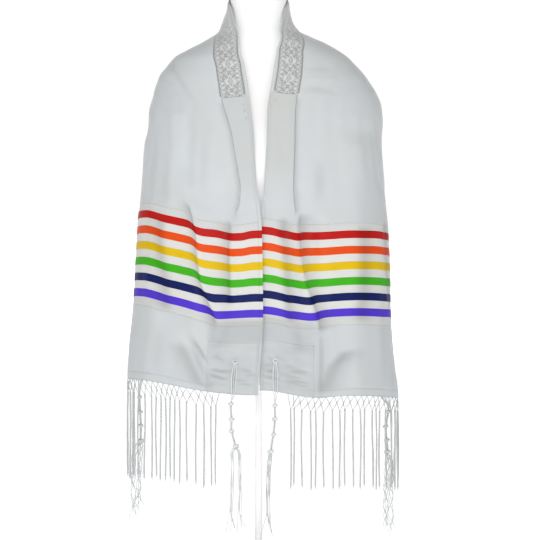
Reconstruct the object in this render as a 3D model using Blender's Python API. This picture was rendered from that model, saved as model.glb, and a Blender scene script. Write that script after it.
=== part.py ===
"""Tallit prayer shawl draped on a limbless dress form.

Metres, +Z up, the front faces -Y, and the origin is the middle of the base's underside.

The shawl is one long rectangle of cloth whose middle lies round the nape and whose two ends hang in
front.  A place on it has two cloth coordinates: "along", from 0 at the nape to the hems, negative on
the wearer's right side (-X) and positive on the other, and "across", from 0 at the inner edge, which
runs round the neck, to the outer edge.  drape() lays the rectangle over the form, and every sewn
piece is a stretch of that drape with its own wall, moved out by the layers that it lies on.
"""

import math
from collections import namedtuple

import bpy
import numpy as np

# Cloth as cut.
HALF_LENGTH = 0.915
WIDTH = 0.46
LEFT, RIGHT = -1, 1
SIDE_NAMES = {LEFT: "left", RIGHT: "right"}

# Walls, and the air that sewn pieces keep.
CLOTH_WALL = 0.0012
RIBBON_WALL = 0.0010
PATCH_WALL = 0.0010
BROCADE_WALL = 0.0020
PLEAT_WALL = 0.0022
FRINGE_WALL = 0.0030
SEAM_GAP = 0.0003
PARTING = 0.0010
LAYER_GAP = 0.0010

# Seams along the cloth, from the nape.
INSET_START = 0.561
FIRST_RIBBON = 0.577
RIBBON_PITCH = 0.0327
RIBBON_WIDTH = 0.0162
INSET_END = 0.773
HEM_TURN = 0.015
FRINGE_REACH = 0.198
RIBBON_COLOURS = ("red", "orange", "yellow", "green", "navy", "violet")

# Trim.
ATARA_HALF_LENGTH = 0.302
ATARA_INNER = 0.008
ATARA_OUTER = 0.060
PATCH_SIZE = 0.105
PATCH_MARGIN = 0.002
FRINGE_INNER = {LEFT: 0.082, RIGHT: 0.057}
FRINGE_OUTER = WIDTH - 0.092
CORD_DIAMETER = 0.0036
CORD_GAP = 0.0004

# The drape's outline: a section at each height, with its reach from the axis to the left and right,
# to the front and back, and how square it is (2 is an ellipse).
Section = namedtuple("Section", "height left right front back squareness")
DRAPE = (
    Section(0.100, 0.2720, 0.2900, 0.134, 0.098, 2.30),
    Section(0.345, 0.2720, 0.2893, 0.134, 0.098, 2.30),
    Section(0.384, 0.2705, 0.2840, 0.134, 0.098, 2.30),
    Section(0.433, 0.2675, 0.2785, 0.134, 0.099, 2.30),
    Section(0.507, 0.2600, 0.2737, 0.134, 0.102, 2.30),
    Section(0.605, 0.2530, 0.2720, 0.133, 0.108, 2.30),
    Section(0.680, 0.2490, 0.2678, 0.132, 0.114, 2.30),
    Section(0.728, 0.2450, 0.2625, 0.131, 0.117, 2.30),
    Section(0.790, 0.2395, 0.2585, 0.129, 0.120, 2.30),
    Section(0.850, 0.2368, 0.2578, 0.125, 0.121, 2.30),
    Section(0.900, 0.2305, 0.2568, 0.119, 0.119, 2.28),
    Section(0.925, 0.2260, 0.2525, 0.115, 0.117, 2.25),
    Section(0.950, 0.2190, 0.2440, 0.110, 0.114, 2.22),
    Section(0.972, 0.2120, 0.2320, 0.105, 0.111, 2.20),
    Section(0.993, 0.2035, 0.2200, 0.100, 0.107, 2.18),
    Section(1.013, 0.1890, 0.2025, 0.095, 0.103, 2.15),
    Section(1.032, 0.1740, 0.1845, 0.089, 0.097, 2.12),
    Section(1.047, 0.1460, 0.1626, 0.084, 0.092, 2.10),
    Section(1.062, 0.1180, 0.1352, 0.079, 0.086, 2.05),
    Section(1.074, 0.0960, 0.1075, 0.076, 0.082, 2.00),
    Section(1.085, 0.0810, 0.0840, 0.073, 0.077, 2.00),
    Section(1.097, 0.0755, 0.0725, 0.070, 0.072, 2.00),
    Section(1.109, 0.0705, 0.0670, 0.067, 0.068, 2.00),
    Section(1.134, 0.0630, 0.0620, 0.063, 0.0628, 2.00),
    Section(1.165, 0.0608, 0.0608, 0.061, 0.0608, 2.00),
)

# The inner edge round the back of the neck: place along the cloth, height, and degrees round from
# the front.
NeckEdge = namedtuple("NeckEdge", "along height angle")
NECK_EDGE = (
    NeckEdge(0.000, 1.1580, 180.0),
    NeckEdge(0.045, 1.1560, 136.0),
    NeckEdge(0.090, 1.1495, 92.0),
    NeckEdge(0.122, 1.1330, 63.0),
)

# The inner edges down the front: height and reach to the right of the middle.
FrontEdge = namedtuple("FrontEdge", "height x")
FRONT_EDGE = {
    LEFT: (
        FrontEdge(1.1055, -0.0500),
        FrontEdge(1.0540, -0.0380),
        FrontEdge(1.0130, -0.0287),
        FrontEdge(0.9620, -0.0201),
        FrontEdge(0.8760, -0.0100),
        FrontEdge(0.7630, -0.0029),
        FrontEdge(0.7160, 0.0037),
        FrontEdge(0.6830, 0.0062),
        FrontEdge(0.4990, 0.0090),
        FrontEdge(0.4500, 0.0072),
        FrontEdge(0.3370, -0.0002),
        FrontEdge(0.1300, -0.0002),
    ),
    RIGHT: (
        FrontEdge(1.1055, 0.0488),
        FrontEdge(1.0440, 0.0369),
        FrontEdge(0.9620, 0.0238),
        FrontEdge(0.9210, 0.0182),
        FrontEdge(0.8490, 0.0156),
        FrontEdge(0.7610, 0.0101),
        FrontEdge(0.7200, 0.0064),
        FrontEdge(0.6800, 0.0020),
        FrontEdge(0.4990, 0.0040),
        FrontEdge(0.4500, 0.0030),
        FrontEdge(0.3440, 0.0023),
        FrontEdge(0.1300, 0.0023),
    ),
}
HEM_HEIGHT = {LEFT: 0.3368, RIGHT: 0.3440}

# Where a line across the cloth ends at the outer edge: how far below its start and at how many
# degrees round from the front, how much sooner than evenly it gets round, and how much later down.
OuterEdge = namedtuple("OuterEdge", "along drop angle round fall")
OUTER_EDGE = (
    OuterEdge(0.000, 0.458, 180.0, 3.4, 1.00),
    OuterEdge(0.050, 0.453, 169.8, 3.4, 1.00),
    OuterEdge(0.095, 0.433, 161.3, 3.6, 1.00),
    OuterEdge(0.122, 0.409, 157.0, 3.8, 1.05),
    OuterEdge(0.146, 0.377, 153.5, 3.6, 1.15),
    OuterEdge(0.190, 0.309, 148.0, 2.5, 1.35),
    OuterEdge(0.250, 0.219, 141.0, 1.5, 1.45),
    OuterEdge(0.300, 0.152, 137.5, 1.1, 1.50),
    OuterEdge(0.360, 0.112, 138.5, 1.0, 1.55),
    OuterEdge(0.420, 0.093, 142.0, 1.0, 1.60),
    OuterEdge(0.500, 0.069, 147.0, 1.0, 1.60),
    OuterEdge(0.577, 0.050, 149.5, 1.0, 1.60),
    OuterEdge(0.757, 0.026, 147.0, 1.0, 1.50),
    OuterEdge(0.915, 0.004, 143.0, 1.0, 1.40),
    OuterEdge(1.130, 0.004, 143.0, 1.0, 1.40),
)

# How far each line across a hanging end stands above its start, as the side pulls it up: at the first
# ribbon, at the last one and at the hem of each side, and how much of it there is at each place along.
SidePull = namedtuple("SidePull", "across left_top left_foot left_hem right_top right_foot right_hem")
SIDE_PULL = (
    SidePull(0.000, -0.0005, 0.0005, -0.0005, 0.0010, 0.0010, 0.0020),
    SidePull(0.020, -0.0012, 0.0005, -0.0006, -0.0006, -0.0007, 0.0012),
    SidePull(0.040, -0.0050, -0.0002, 0.0001, -0.0048, -0.0042, -0.0023),
    SidePull(0.065, -0.0046, -0.0010, 0.0026, -0.0105, -0.0101, -0.0072),
    SidePull(0.090, 0.0019, 0.0002, 0.0053, -0.0118, -0.0115, -0.0116),
    SidePull(0.115, 0.0075, 0.0088, 0.0086, -0.0093, -0.0092, -0.0133),
    SidePull(0.145, 0.0215, 0.0209, 0.0139, -0.0053, -0.0038, -0.0105),
    SidePull(0.170, 0.0314, 0.0290, 0.0190, -0.0020, -0.0006, -0.0089),
    SidePull(0.195, 0.0395, 0.0357, 0.0237, 0.0000, 0.0011, -0.0088),
    SidePull(0.250, 0.0558, 0.0514, 0.0315, 0.0048, 0.0026, -0.0107),
    SidePull(0.300, 0.0595, 0.0558, 0.0337, 0.0063, 0.0048, -0.0128),
    SidePull(0.380, 0.0560, 0.0530, 0.0320, 0.0055, 0.0040, -0.0132),
    SidePull(0.460, 0.0500, 0.0480, 0.0290, 0.0060, 0.0045, -0.0128),
)
PULL_PLACES = {"top": 0.585, "foot": 0.749, "hem": 0.915}
PullShare = namedtuple("PullShare", "along share")
PULL_SHARE = (
    PullShare(0.000, 0.00),
    PullShare(0.250, 0.00),
    PullShare(0.420, 0.57),
    PullShare(0.560, 1.00),
    PullShare(0.915, 1.00),
    PullShare(1.130, 0.70),
)

# Folds: ridges (+) and troughs (-) from one place on the cloth to another.
Fold = namedtuple("Fold", "side along across to_along to_across half_width height")
FOLDS = (
    Fold(LEFT, 0.520, 0.000, 1.130, 0.000, 0.030, 0.0030),
    Fold(RIGHT, 0.500, 0.000, 1.130, 0.000, 0.026, -0.0040),
    Fold(LEFT, 0.235, 0.158, 0.310, 0.128, 0.016, -0.0035),
    Fold(LEFT, 0.330, 0.172, 0.540, 0.178, 0.026, 0.0055),
    Fold(LEFT, 0.340, 0.122, 0.520, 0.122, 0.018, -0.0045),
    Fold(LEFT, 0.500, 0.076, 0.800, 0.088, 0.022, -0.0055),
    Fold(LEFT, 0.500, 0.142, 0.790, 0.136, 0.024, 0.0050),
    Fold(LEFT, 0.815, 0.150, 0.892, 0.112, 0.015, -0.0045),
    Fold(LEFT, 0.600, 0.225, 1.130, 0.235, 0.026, 0.0050),
    Fold(RIGHT, 0.360, 0.250, 0.470, 0.262, 0.016, -0.0035),
    Fold(RIGHT, 0.500, 0.076, 0.800, 0.084, 0.018, -0.0055),
    Fold(RIGHT, 0.560, 0.118, 1.130, 0.128, 0.014, -0.0040),
    Fold(RIGHT, 0.400, 0.190, 1.130, 0.198, 0.028, 0.0060),
    Fold(RIGHT, 0.840, 0.172, 0.908, 0.132, 0.013, -0.0045),
    Fold(LEFT, 0.045, 0.190, 0.048, 0.470, 0.034, 0.0070),
    Fold(LEFT, 0.150, 0.260, 0.150, 0.470, 0.045, 0.0090),
    Fold(LEFT, 0.300, 0.330, 0.340, 0.470, 0.060, -0.0060),
    Fold(LEFT, 0.560, 0.345, 1.130, 0.350, 0.022, -0.0070),
    Fold(LEFT, 0.600, 0.410, 1.130, 0.405, 0.022, 0.0060),
    Fold(RIGHT, 0.080, 0.200, 0.085, 0.470, 0.038, 0.0080),
    Fold(RIGHT, 0.200, 0.280, 0.210, 0.470, 0.050, 0.0080),
    Fold(RIGHT, 0.350, 0.350, 0.390, 0.470, 0.060, -0.0060),
    Fold(RIGHT, 0.540, 0.355, 1.130, 0.350, 0.024, -0.0080),
    Fold(RIGHT, 0.640, 0.415, 1.130, 0.420, 0.020, 0.0060),
)

# How far from the inner edge the neckband's outer edge lies at each place: the cloth is eased in
# round the neck, and evenly again from EASE_REACH out.
AtaraEdge = namedtuple("AtaraEdge", "along left right")
EASE_REACH = 0.160
ATARA_EDGE = (
    AtaraEdge(0.000, 0.0600, 0.0600),
    AtaraEdge(0.115, 0.0560, 0.0540),
    AtaraEdge(0.150, 0.0525, 0.0495),
    AtaraEdge(0.187, 0.0530, 0.0490),
    AtaraEdge(0.222, 0.0570, 0.0535),
    AtaraEdge(0.262, 0.0630, 0.0600),
    AtaraEdge(0.302, 0.0670, 0.0625),
    AtaraEdge(0.370, 0.0600, 0.0600),
)

# The pressed fold below the neckband: how wide its doubled strip is at each place.
PleatWidth = namedtuple("PleatWidth", "along left right")
PLEAT_WIDTH = (
    PleatWidth(0.305, 0.0575, 0.0575),
    PleatWidth(0.350, 0.0530, 0.0600),
    PleatWidth(0.400, 0.0460, 0.0610),
    PleatWidth(0.450, 0.0385, 0.0605),
    PleatWidth(0.485, 0.0345, 0.0610),
    PleatWidth(0.515, 0.0400, 0.0645),
    PleatWidth(0.540, 0.0520, 0.0690),
)
PLEAT_START = 0.003

# The dress form, in the same way as the drape.
FORM = (
    Section(0.3570, 0.1500, 0.1500, 0.080, 0.072, 2.30),
    Section(0.3650, 0.1600, 0.1600, 0.088, 0.080, 2.30),
    Section(0.4000, 0.1660, 0.1660, 0.094, 0.084, 2.25),
    Section(0.4600, 0.1640, 0.1640, 0.094, 0.086, 2.20),
    Section(0.5500, 0.1520, 0.1520, 0.090, 0.080, 2.20),
    Section(0.6400, 0.1460, 0.1460, 0.088, 0.078, 2.20),
    Section(0.7200, 0.1540, 0.1540, 0.096, 0.086, 2.20),
    Section(0.8000, 0.1700, 0.1700, 0.108, 0.098, 2.25),
    Section(0.8800, 0.1830, 0.1860, 0.106, 0.106, 2.28),
    Section(0.9300, 0.1930, 0.2010, 0.098, 0.106, 2.25),
    Section(0.9720, 0.1960, 0.2080, 0.091, 0.102, 2.20),
    Section(1.0000, 0.1870, 0.2030, 0.086, 0.098, 2.15),
    Section(1.0200, 0.1723, 0.1885, 0.081, 0.094, 2.12),
    Section(1.0400, 0.1469, 0.1636, 0.076, 0.088, 2.10),
    Section(1.0560, 0.1178, 0.1370, 0.071, 0.083, 2.05),
    Section(1.0700, 0.0910, 0.1040, 0.068, 0.077, 2.00),
    Section(1.0820, 0.0730, 0.0765, 0.065, 0.071, 2.00),
    Section(1.0960, 0.0640, 0.0640, 0.062, 0.065, 2.00),
    Section(1.1150, 0.0595, 0.0600, 0.0595, 0.0598, 2.00),
    Section(1.1350, 0.0585, 0.0585, 0.0585, 0.0585, 2.00),
    Section(1.1750, 0.0585, 0.0585, 0.0585, 0.0585, 2.00),
)
FORM_SIDES = 36
BASE_RADIUS = 0.160
BASE_THICKNESS = 0.012
BASE_EDGE = 0.002
POLE_RADIUS = 0.008
ROUND_SIDES = 48

# The four tzitzit: side, how far its hole is above the hem and from the inner edge, and the route of
# the hanging part from the hem down, as places across the view and heights.
Tzitzit = namedtuple("Tzitzit", "name side hole_up hole_across route")
TZITZIT = (
    Tzitzit("tzitzit_left_inner", LEFT, 0.068, 0.050,
            ((-0.0568, 0.318), (-0.0551, 0.287), (-0.0551, 0.264), (-0.0463, 0.231),
             (-0.0394, 0.218), (-0.0385, 0.187), (-0.0375, 0.138), (-0.0385, 0.095),
             (-0.0335, 0.060))),
    Tzitzit("tzitzit_right_inner", RIGHT, 0.064, 0.031,
            ((0.0334, 0.316), (0.0338, 0.287), (0.0306, 0.257), (0.0254, 0.222),
             (0.0210, 0.180), (0.0195, 0.120), (0.0195, 0.056))),
    Tzitzit("tzitzit_left_outer", LEFT, 0.068, WIDTH - 0.068,
            ((-0.2470, 0.345), (-0.2455, 0.300), (-0.2440, 0.271), (-0.2450, 0.220),
             (-0.2480, 0.160), (-0.2490, 0.100))),
    Tzitzit("tzitzit_right_outer", RIGHT, 0.068, WIDTH - 0.068,
            ((0.2690, 0.310), (0.2635, 0.265), (0.2670, 0.216), (0.2640, 0.170),
             (0.2634, 0.110), (0.2634, 0.056))),
)

DRAPE_STEP = 0.005
RIB_SAMPLES = 90

# Rows along the body panel, closer together round the neck, and along an end.
NECK_REACH = 0.151
NECK_ROWS = 10
ATARA_ROWS = 14
BODY_ROWS = 19
INSET_ROWS = 5
PATCH_ROWS = 4
# Columns across the neckband, between it and the inner patch's edge, on to the outer patch, and
# across that patch.
ATARA_COLUMNS = 3
BESIDE_COLUMNS = 2
MIDDLE_COLUMNS = 10
PATCH_COLUMNS = 5
PLEAT_ROWS = 8
FRINGE_ROWS = 4
FRINGE_COLUMNS = 13


def column(table, name):
    """One named column of a table."""
    return np.array([getattr(row, name) for row in table])


def smooth(at, xs, ys):
    """A curve through the points that never overshoots them (monotone cubic)."""
    order = np.argsort(xs)
    xs = np.asarray(xs, float)[order]
    ys = np.asarray(ys, float)[order]
    steps = np.diff(xs)
    slopes = np.diff(ys) / steps
    tangents = np.zeros(len(xs))
    tangents[0] = slopes[0]
    tangents[-1] = slopes[-1]
    same_way = slopes[:-1] * slopes[1:] > 0
    before = 2 * steps[1:] + steps[:-1]
    after = steps[1:] + 2 * steps[:-1]
    with np.errstate(divide="ignore", invalid="ignore"):
        mean = (before + after) / (before / slopes[:-1] + after / slopes[1:])
    tangents[1:-1] = np.where(same_way, mean, 0.0)
    at = np.clip(np.asarray(at, float), xs[0], xs[-1])
    cell = np.clip(np.searchsorted(xs, at, side="right") - 1, 0, len(steps) - 1)
    width = steps[cell]
    share = (at - xs[cell]) / width
    start = (1 + 2 * share) * (1 - share) ** 2 * ys[cell]
    start_tangent = share * (1 - share) ** 2 * width * tangents[cell]
    end = share**2 * (3 - 2 * share) * ys[cell + 1]
    end_tangent = share**2 * (share - 1) * width * tangents[cell + 1]
    return start + start_tangent + end + end_tangent


def signed_power(value, power):
    return np.sign(value) * np.abs(value) ** power


def on_section(table, heights, angles):
    """Points at these heights and angles in radians round from the front, +X first."""
    heights = np.asarray(heights, float)
    sines = np.sin(angles)
    cosines = np.cos(angles)
    reach = {name: smooth(heights, column(table, "height"), column(table, name))
             for name in Section._fields[1:]}
    power = 2 / reach["squareness"]
    width = np.where(sines < 0, reach["left"], reach["right"])
    depth = np.where(cosines < 0, reach["back"], reach["front"])
    return np.stack([width * signed_power(sines, power),
                     -depth * signed_power(cosines, power),
                     heights * np.ones_like(sines)], axis=-1)


def front_angle(side, height, x):
    """The angle on the drape, towards this side, of a front point at this height and reach."""
    reach = smooth(height, column(DRAPE, "height"), column(DRAPE, SIDE_NAMES[side]))
    squareness = smooth(height, column(DRAPE, "height"), column(DRAPE, "squareness"))
    share = side * x / reach
    return np.sign(share) * np.arcsin(np.abs(share) ** (squareness / 2))


def inner_edge(side):
    """The rows of this side's inner edge: along, height, angle in radians."""
    rows = [(row.along, row.height, math.radians(row.angle)) for row in NECK_EDGE]
    for row in FRONT_EDGE[side]:
        along = HALF_LENGTH - (row.height - HEM_HEIGHT[side])
        rows.append((along, row.height, float(front_angle(side, row.height, row.x))))
    return np.array(rows)


def rib(side, along, edge):
    """Points of the drape on one line across the cloth, and how far along that line each one is."""
    name = SIDE_NAMES[side]
    height = smooth(along, edge[:, 0], edge[:, 1])
    angle = smooth(along, edge[:, 0], edge[:, 2])
    where = column(OUTER_EDGE, "along")
    drop = smooth(along, where, column(OUTER_EDGE, "drop"))
    last_angle = math.radians(smooth(along, where, column(OUTER_EDGE, "angle")))
    share = np.linspace(0, 1, RIB_SAMPLES)
    turned = 1 - (1 - share) ** smooth(along, where, column(OUTER_EDGE, "round"))
    angles = angle + (last_angle - angle) * turned
    heights = height - drop * share ** smooth(along, where, column(OUTER_EDGE, "fall"))
    points = on_section(DRAPE, heights, side * angles)
    across = distance_along(points)
    across *= WIDTH / across[-1]
    heights = heights + side_pull(side, along, across)
    points = on_section(DRAPE, heights, side * angles)
    across = distance_along(points)
    across *= WIDTH / across[-1]
    band = smooth(along, column(ATARA_EDGE, "along"), column(ATARA_EDGE, name))
    return points, np.interp(across, (0, band, EASE_REACH, WIDTH),
                             (0, ATARA_OUTER, EASE_REACH, WIDTH))


def side_pull(side, along, across):
    """How far the places on one line across the cloth stand above where it would hang."""
    places = list(PULL_PLACES.values())
    pull = 0.0
    for k, part in enumerate(PULL_PLACES):
        weight = np.interp(along, places, [float(j == k) for j in range(len(places))])
        pull = pull + weight * smooth(across, column(SIDE_PULL, "across"),
                                      column(SIDE_PULL, f"{SIDE_NAMES[side]}_{part}"))
    return pull * smooth(along, column(PULL_SHARE, "along"), column(PULL_SHARE, "share"))


def distance_along(points):
    steps = np.linalg.norm(np.diff(points, axis=0), axis=1)
    return np.concatenate([[0], np.cumsum(steps)])


def fold_height(along, across):
    """How far the folds lift the cloth at these places."""
    height = np.zeros(np.broadcast(along, across).shape)
    for fold in FOLDS:
        start = np.array([fold.side * fold.along, fold.across])
        run = np.array([fold.side * fold.to_along, fold.to_across]) - start
        share = ((along - start[0]) * run[0] + (across - start[1]) * run[1]) / (run @ run)
        share = np.clip(share, 0, 1)
        away = np.hypot(along - start[0] - share * run[0], across - start[1] - share * run[1])
        height += fold.height * np.exp(-((away / fold.half_width) ** 2))
    return height


def normals_of(points):
    """Unit normals of a grid of points, away from the form."""
    normals = np.cross(np.gradient(points, axis=0), np.gradient(points, axis=1))
    return normals / np.linalg.norm(normals, axis=-1, keepdims=True)


def drape():
    """The whole shawl as a fine grid: places along and across, points and normals."""
    reach = HALF_LENGTH + FRINGE_REACH + 0.01
    half = np.arange(0, reach, DRAPE_STEP)
    alongs = np.concatenate([-half[:0:-1], half])
    acrosses = np.linspace(0, WIDTH, round(WIDTH / DRAPE_STEP) + 1)
    edges = {side: inner_edge(side) for side in SIDE_NAMES}
    rows = []
    for along in alongs:
        side = LEFT if along < 0 else RIGHT
        points, across = rib(side, abs(along), edges[side])
        rows.append(np.stack([np.interp(acrosses, across, points[:, k]) for k in range(3)], axis=1))
    points = np.array(rows)
    lift = fold_height(alongs[:, None], acrosses[None, :])
    points = points + normals_of(points) * lift[..., None]
    return alongs, acrosses, points, normals_of(points)


def on_cloth(cloth, along, across, lift=0.0):
    """Points of the face of a drape, or of a panel cut from it, at these places, moved out by lift."""
    alongs, acrosses, points, normals = cloth
    along, across = np.broadcast_arrays(along, across)
    row = np.clip(np.searchsorted(alongs, along) - 1, 0, len(alongs) - 2)
    col = np.clip(np.searchsorted(acrosses, across) - 1, 0, len(acrosses) - 2)
    u = ((along - alongs[row]) / (alongs[row + 1] - alongs[row]))[..., None]
    v = ((across - acrosses[col]) / (acrosses[col + 1] - acrosses[col]))[..., None]
    found = []
    for grid in (points, normals):
        near = grid[row, col] * (1 - v) + grid[row, col + 1] * v
        far = grid[row + 1, col] * (1 - v) + grid[row + 1, col + 1] * v
        found.append(near * (1 - u) + far * u)
    return found[0] + found[1] * lift


def cut(cloth, alongs, acrosses):
    """A panel cut from the drape: its rows and columns, and its points and normals there."""
    alongs = np.sort(alongs)
    points = on_cloth(cloth, alongs[:, None], acrosses)
    normals = on_cloth(cloth, alongs[:, None], acrosses, 1.0) - points
    return alongs, acrosses, points, normals


def finish(name, colour, roughness, metallic=0.0):
    """A plain material for one piece."""
    material = bpy.data.materials.new(name)
    material.use_nodes = True
    shader = material.node_tree.nodes["Principled BSDF"]
    shader.inputs["Base Color"].default_value = (*colour, 1.0)
    shader.inputs["Roughness"].default_value = roughness
    shader.inputs["Metallic"].default_value = metallic
    return material


WOOL = (0.62, 0.64, 0.65)
INSET_WOOL = (0.72, 0.73, 0.70)
BROCADE = (0.50, 0.50, 0.50)
FORM_WHITE = (0.80, 0.80, 0.80)
SATIN = {
    "red": (0.47, 0.015, 0.013),
    "orange": (0.75, 0.08, 0.015),
    "yellow": (0.73, 0.48, 0.006),
    "green": (0.06, 0.40, 0.024),
    "navy": (0.007, 0.007, 0.090),
    "violet": (0.09, 0.05, 0.58),
}


def place(name, mesh, material):
    mesh.materials.append(material)
    piece = bpy.data.objects.new(name, mesh)
    bpy.context.scene.collection.objects.link(piece)
    return piece


def sheet(name, cloth, alongs, acrosses, face_lift, wall, material):
    """A cloth wall over a grid of places; its outer face is face_lift above the cloth's own.

    acrosses is one list for every row, or a list for each row."""
    order = np.argsort(alongs)
    alongs = np.asarray(alongs, float)[order]
    acrosses = np.asarray(acrosses, float)
    acrosses = np.tile(acrosses, (len(alongs), 1)) if acrosses.ndim == 1 else acrosses[order]
    points = on_cloth(cloth, alongs[:, None], acrosses, face_lift)
    rows, columns = points.shape[:2]
    triangles = []
    for i in range(rows - 1):
        for j in range(columns - 1):
            corner = i * columns + j
            triangles.append((corner, corner + columns, corner + columns + 1))
            triangles.append((corner, corner + columns + 1, corner + 1))
    mesh = bpy.data.meshes.new(name)
    mesh.from_pydata([tuple(point) for point in points.reshape(-1, 3)], [], triangles)
    mesh.shade_smooth()
    piece = place(name, mesh, material)
    solid = piece.modifiers.new("wall", "SOLIDIFY")
    solid.thickness = wall
    solid.offset = -1
    return piece


def body_rows():
    """Places along the body panel from the nape to one inset."""
    return np.interp(np.arange(BODY_ROWS + 1), (0, NECK_ROWS, ATARA_ROWS, BODY_ROWS),
                     (0, NECK_REACH, ATARA_HALF_LENGTH, INSET_START - SEAM_GAP / 2))


def both_ways(half):
    """Places on both sides of the nape."""
    return np.concatenate([-half[:0:-1], half])


def atara_columns():
    return np.linspace(ATARA_INNER, ATARA_OUTER, ATARA_COLUMNS + 1)


def inner_patch_columns():
    beside = np.linspace(ATARA_OUTER, PATCH_MARGIN + PATCH_SIZE, BESIDE_COLUMNS + 1)
    return np.concatenate([[PATCH_MARGIN], atara_columns(), beside[1:]])


def outer_patch_columns():
    end = WIDTH - PATCH_MARGIN
    return np.linspace(end - PATCH_SIZE, end, PATCH_COLUMNS + 1)


def panel_columns():
    """Places across every panel, which what lies on it shares."""
    inner = inner_patch_columns()[1:]
    outer = outer_patch_columns()
    middle = np.linspace(inner[-1], outer[0], MIDDLE_COLUMNS + 1)
    return np.concatenate([[0.0], inner, middle[1:-1], outer, [WIDTH]])


def make_body(drape_grid, wool, brocade):
    """The long plain panel, with the neckband and the two pressed folds that lie on it.

    The panel is one cloth; its solid is in three, parted where the back meets the two fronts."""
    half = body_rows()
    back = np.append(half[:NECK_ROWS], NECK_REACH - PARTING / 2)
    front = np.insert(half[NECK_ROWS + 1:], 0, NECK_REACH + PARTING / 2)
    panel = cut(drape_grid, both_ways(np.concatenate([back, front])), panel_columns())
    sheet("body_back", panel, both_ways(back), panel_columns(), 0.0, CLOTH_WALL, wool)
    for side, name in SIDE_NAMES.items():
        sheet(f"body_{name}", panel, side * front, panel_columns(), 0.0, CLOTH_WALL, wool)
    sheet("atara", panel, both_ways(body_rows()[:ATARA_ROWS + 1]), atara_columns(),
          LAYER_GAP + BROCADE_WALL, BROCADE_WALL, brocade)
    for side, name in SIDE_NAMES.items():
        starts = column(PLEAT_WIDTH, "along")
        alongs = np.linspace(starts[0], starts[-1], PLEAT_ROWS + 1)
        widths = smooth(alongs, starts, column(PLEAT_WIDTH, name))
        acrosses = PLEAT_START + np.linspace(0, 1, 4) * (widths[:, None] - PLEAT_START)
        sheet(f"pleat_{name}", panel, side * alongs, acrosses, LAYER_GAP + PLEAT_WALL, PLEAT_WALL,
              wool)


def make_inset(drape_grid, side, inset_cloth):
    """The striped inset of one side, with its ribbons."""
    name = SIDE_NAMES[side]
    rows = side * np.linspace(INSET_START + SEAM_GAP / 2, INSET_END - SEAM_GAP / 2, INSET_ROWS + 1)
    panel = cut(drape_grid, rows, panel_columns())
    sheet(f"inset_{name}", panel, rows, panel_columns(), 0.0, CLOTH_WALL, inset_cloth)
    for k, colour in enumerate(RIBBON_COLOURS):
        start = FIRST_RIBBON + RIBBON_PITCH * k
        sheet(f"ribbon_{colour}_{name}", panel, [side * start, side * (start + RIBBON_WIDTH)],
              panel_columns(), LAYER_GAP + RIBBON_WALL, RIBBON_WALL,
              finish(f"satin_{colour}", SATIN[colour], 0.35))


def make_end_panel(drape_grid, side, wool):
    """The plain end of one side: its turned hem lies behind, its corner patches on the face."""
    name = SIDE_NAMES[side]
    patch_end = HALF_LENGTH - PATCH_MARGIN
    patch_rows = side * np.linspace(patch_end - PATCH_SIZE, patch_end, PATCH_ROWS + 1)
    rows = np.concatenate([[side * (INSET_END + SEAM_GAP / 2)], patch_rows, [side * HALF_LENGTH]])
    panel = cut(drape_grid, rows, panel_columns())
    sheet(f"end_panel_{name}", panel, rows, panel_columns(), 0.0, CLOTH_WALL, wool)
    sheet(f"hem_{name}", panel, [side * (HALF_LENGTH - HEM_TURN), side * HALF_LENGTH],
          panel_columns(), -CLOTH_WALL - LAYER_GAP, CLOTH_WALL, wool)
    for edge, columns in (("inner", inner_patch_columns()), ("outer", outer_patch_columns())):
        sheet(f"corner_patch_{name}_{edge}", panel, patch_rows, columns, LAYER_GAP + PATCH_WALL,
              PATCH_WALL, wool)


def make_fringe(drape_grid, side, wool):
    """The reach of the knotted fringe below one hem, between the two corner tassels."""
    across = np.linspace(FRINGE_INNER[side], FRINGE_OUTER, FRINGE_COLUMNS + 1)
    top = HALF_LENGTH + 2 * SEAM_GAP
    rows = side * np.linspace(top, top + FRINGE_REACH, FRINGE_ROWS + 1)
    sheet(f"fringe_{SIDE_NAMES[side]}", drape_grid, rows, across, (FRINGE_WALL - CLOTH_WALL) / 2,
          FRINGE_WALL, wool)


def smooth_route(points, spacing):
    """Evenly spaced points on a smooth curve through the route's own points (Catmull-Rom)."""
    points = np.asarray(points, float)
    ends = np.vstack([2 * points[0] - points[1], points, 2 * points[-1] - points[-2]])
    fine = []
    for k in range(len(points) - 1):
        a, b, c, d = ends[k:k + 4]
        for u in np.linspace(0, 1, 16, endpoint=False):
            fine.append(0.5 * (2 * b + (c - a) * u + (2 * a - 5 * b + 4 * c - d) * u**2
                               + (3 * b - a - 3 * c + d) * u**3))
    fine = np.array(fine + [points[-1]])
    reached = distance_along(fine)
    even = np.linspace(0, reached[-1], max(2, round(reached[-1] / spacing)) + 1)
    return np.stack([np.interp(even, reached, fine[:, k]) for k in range(3)], axis=1)


def cord(name, points, diameter, material):
    """A round cord along these points."""
    curve = bpy.data.curves.new(name, "CURVE")
    curve.dimensions = "3D"
    curve.bevel_depth = diameter / 2
    curve.bevel_resolution = 2
    curve.use_fill_caps = True
    spline = curve.splines.new("POLY")
    spline.points.add(len(points) - 1)
    for target, point in zip(spline.points, points):
        target.co = (*point, 1.0)
    return place(name, curve, material)


def make_tzitzit(drape_grid, row, wool):
    """One corner's tassel: down the patch from its hole, over the hem, and free below it."""
    lift = LAYER_GAP + PATCH_WALL + CORD_GAP + CORD_DIAMETER / 2
    on_patch = [on_cloth(drape_grid, row.side * along, row.hole_across, lift)
                for along in HALF_LENGTH - row.hole_up * np.array([1.0, 0.5, 0.0])]
    depth = on_patch[-1][1]
    hanging = [(x, depth, height) for x, height in row.route]
    cord(row.name, smooth_route(on_patch + hanging, 3 * CORD_DIAMETER), CORD_DIAMETER, wool)


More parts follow.
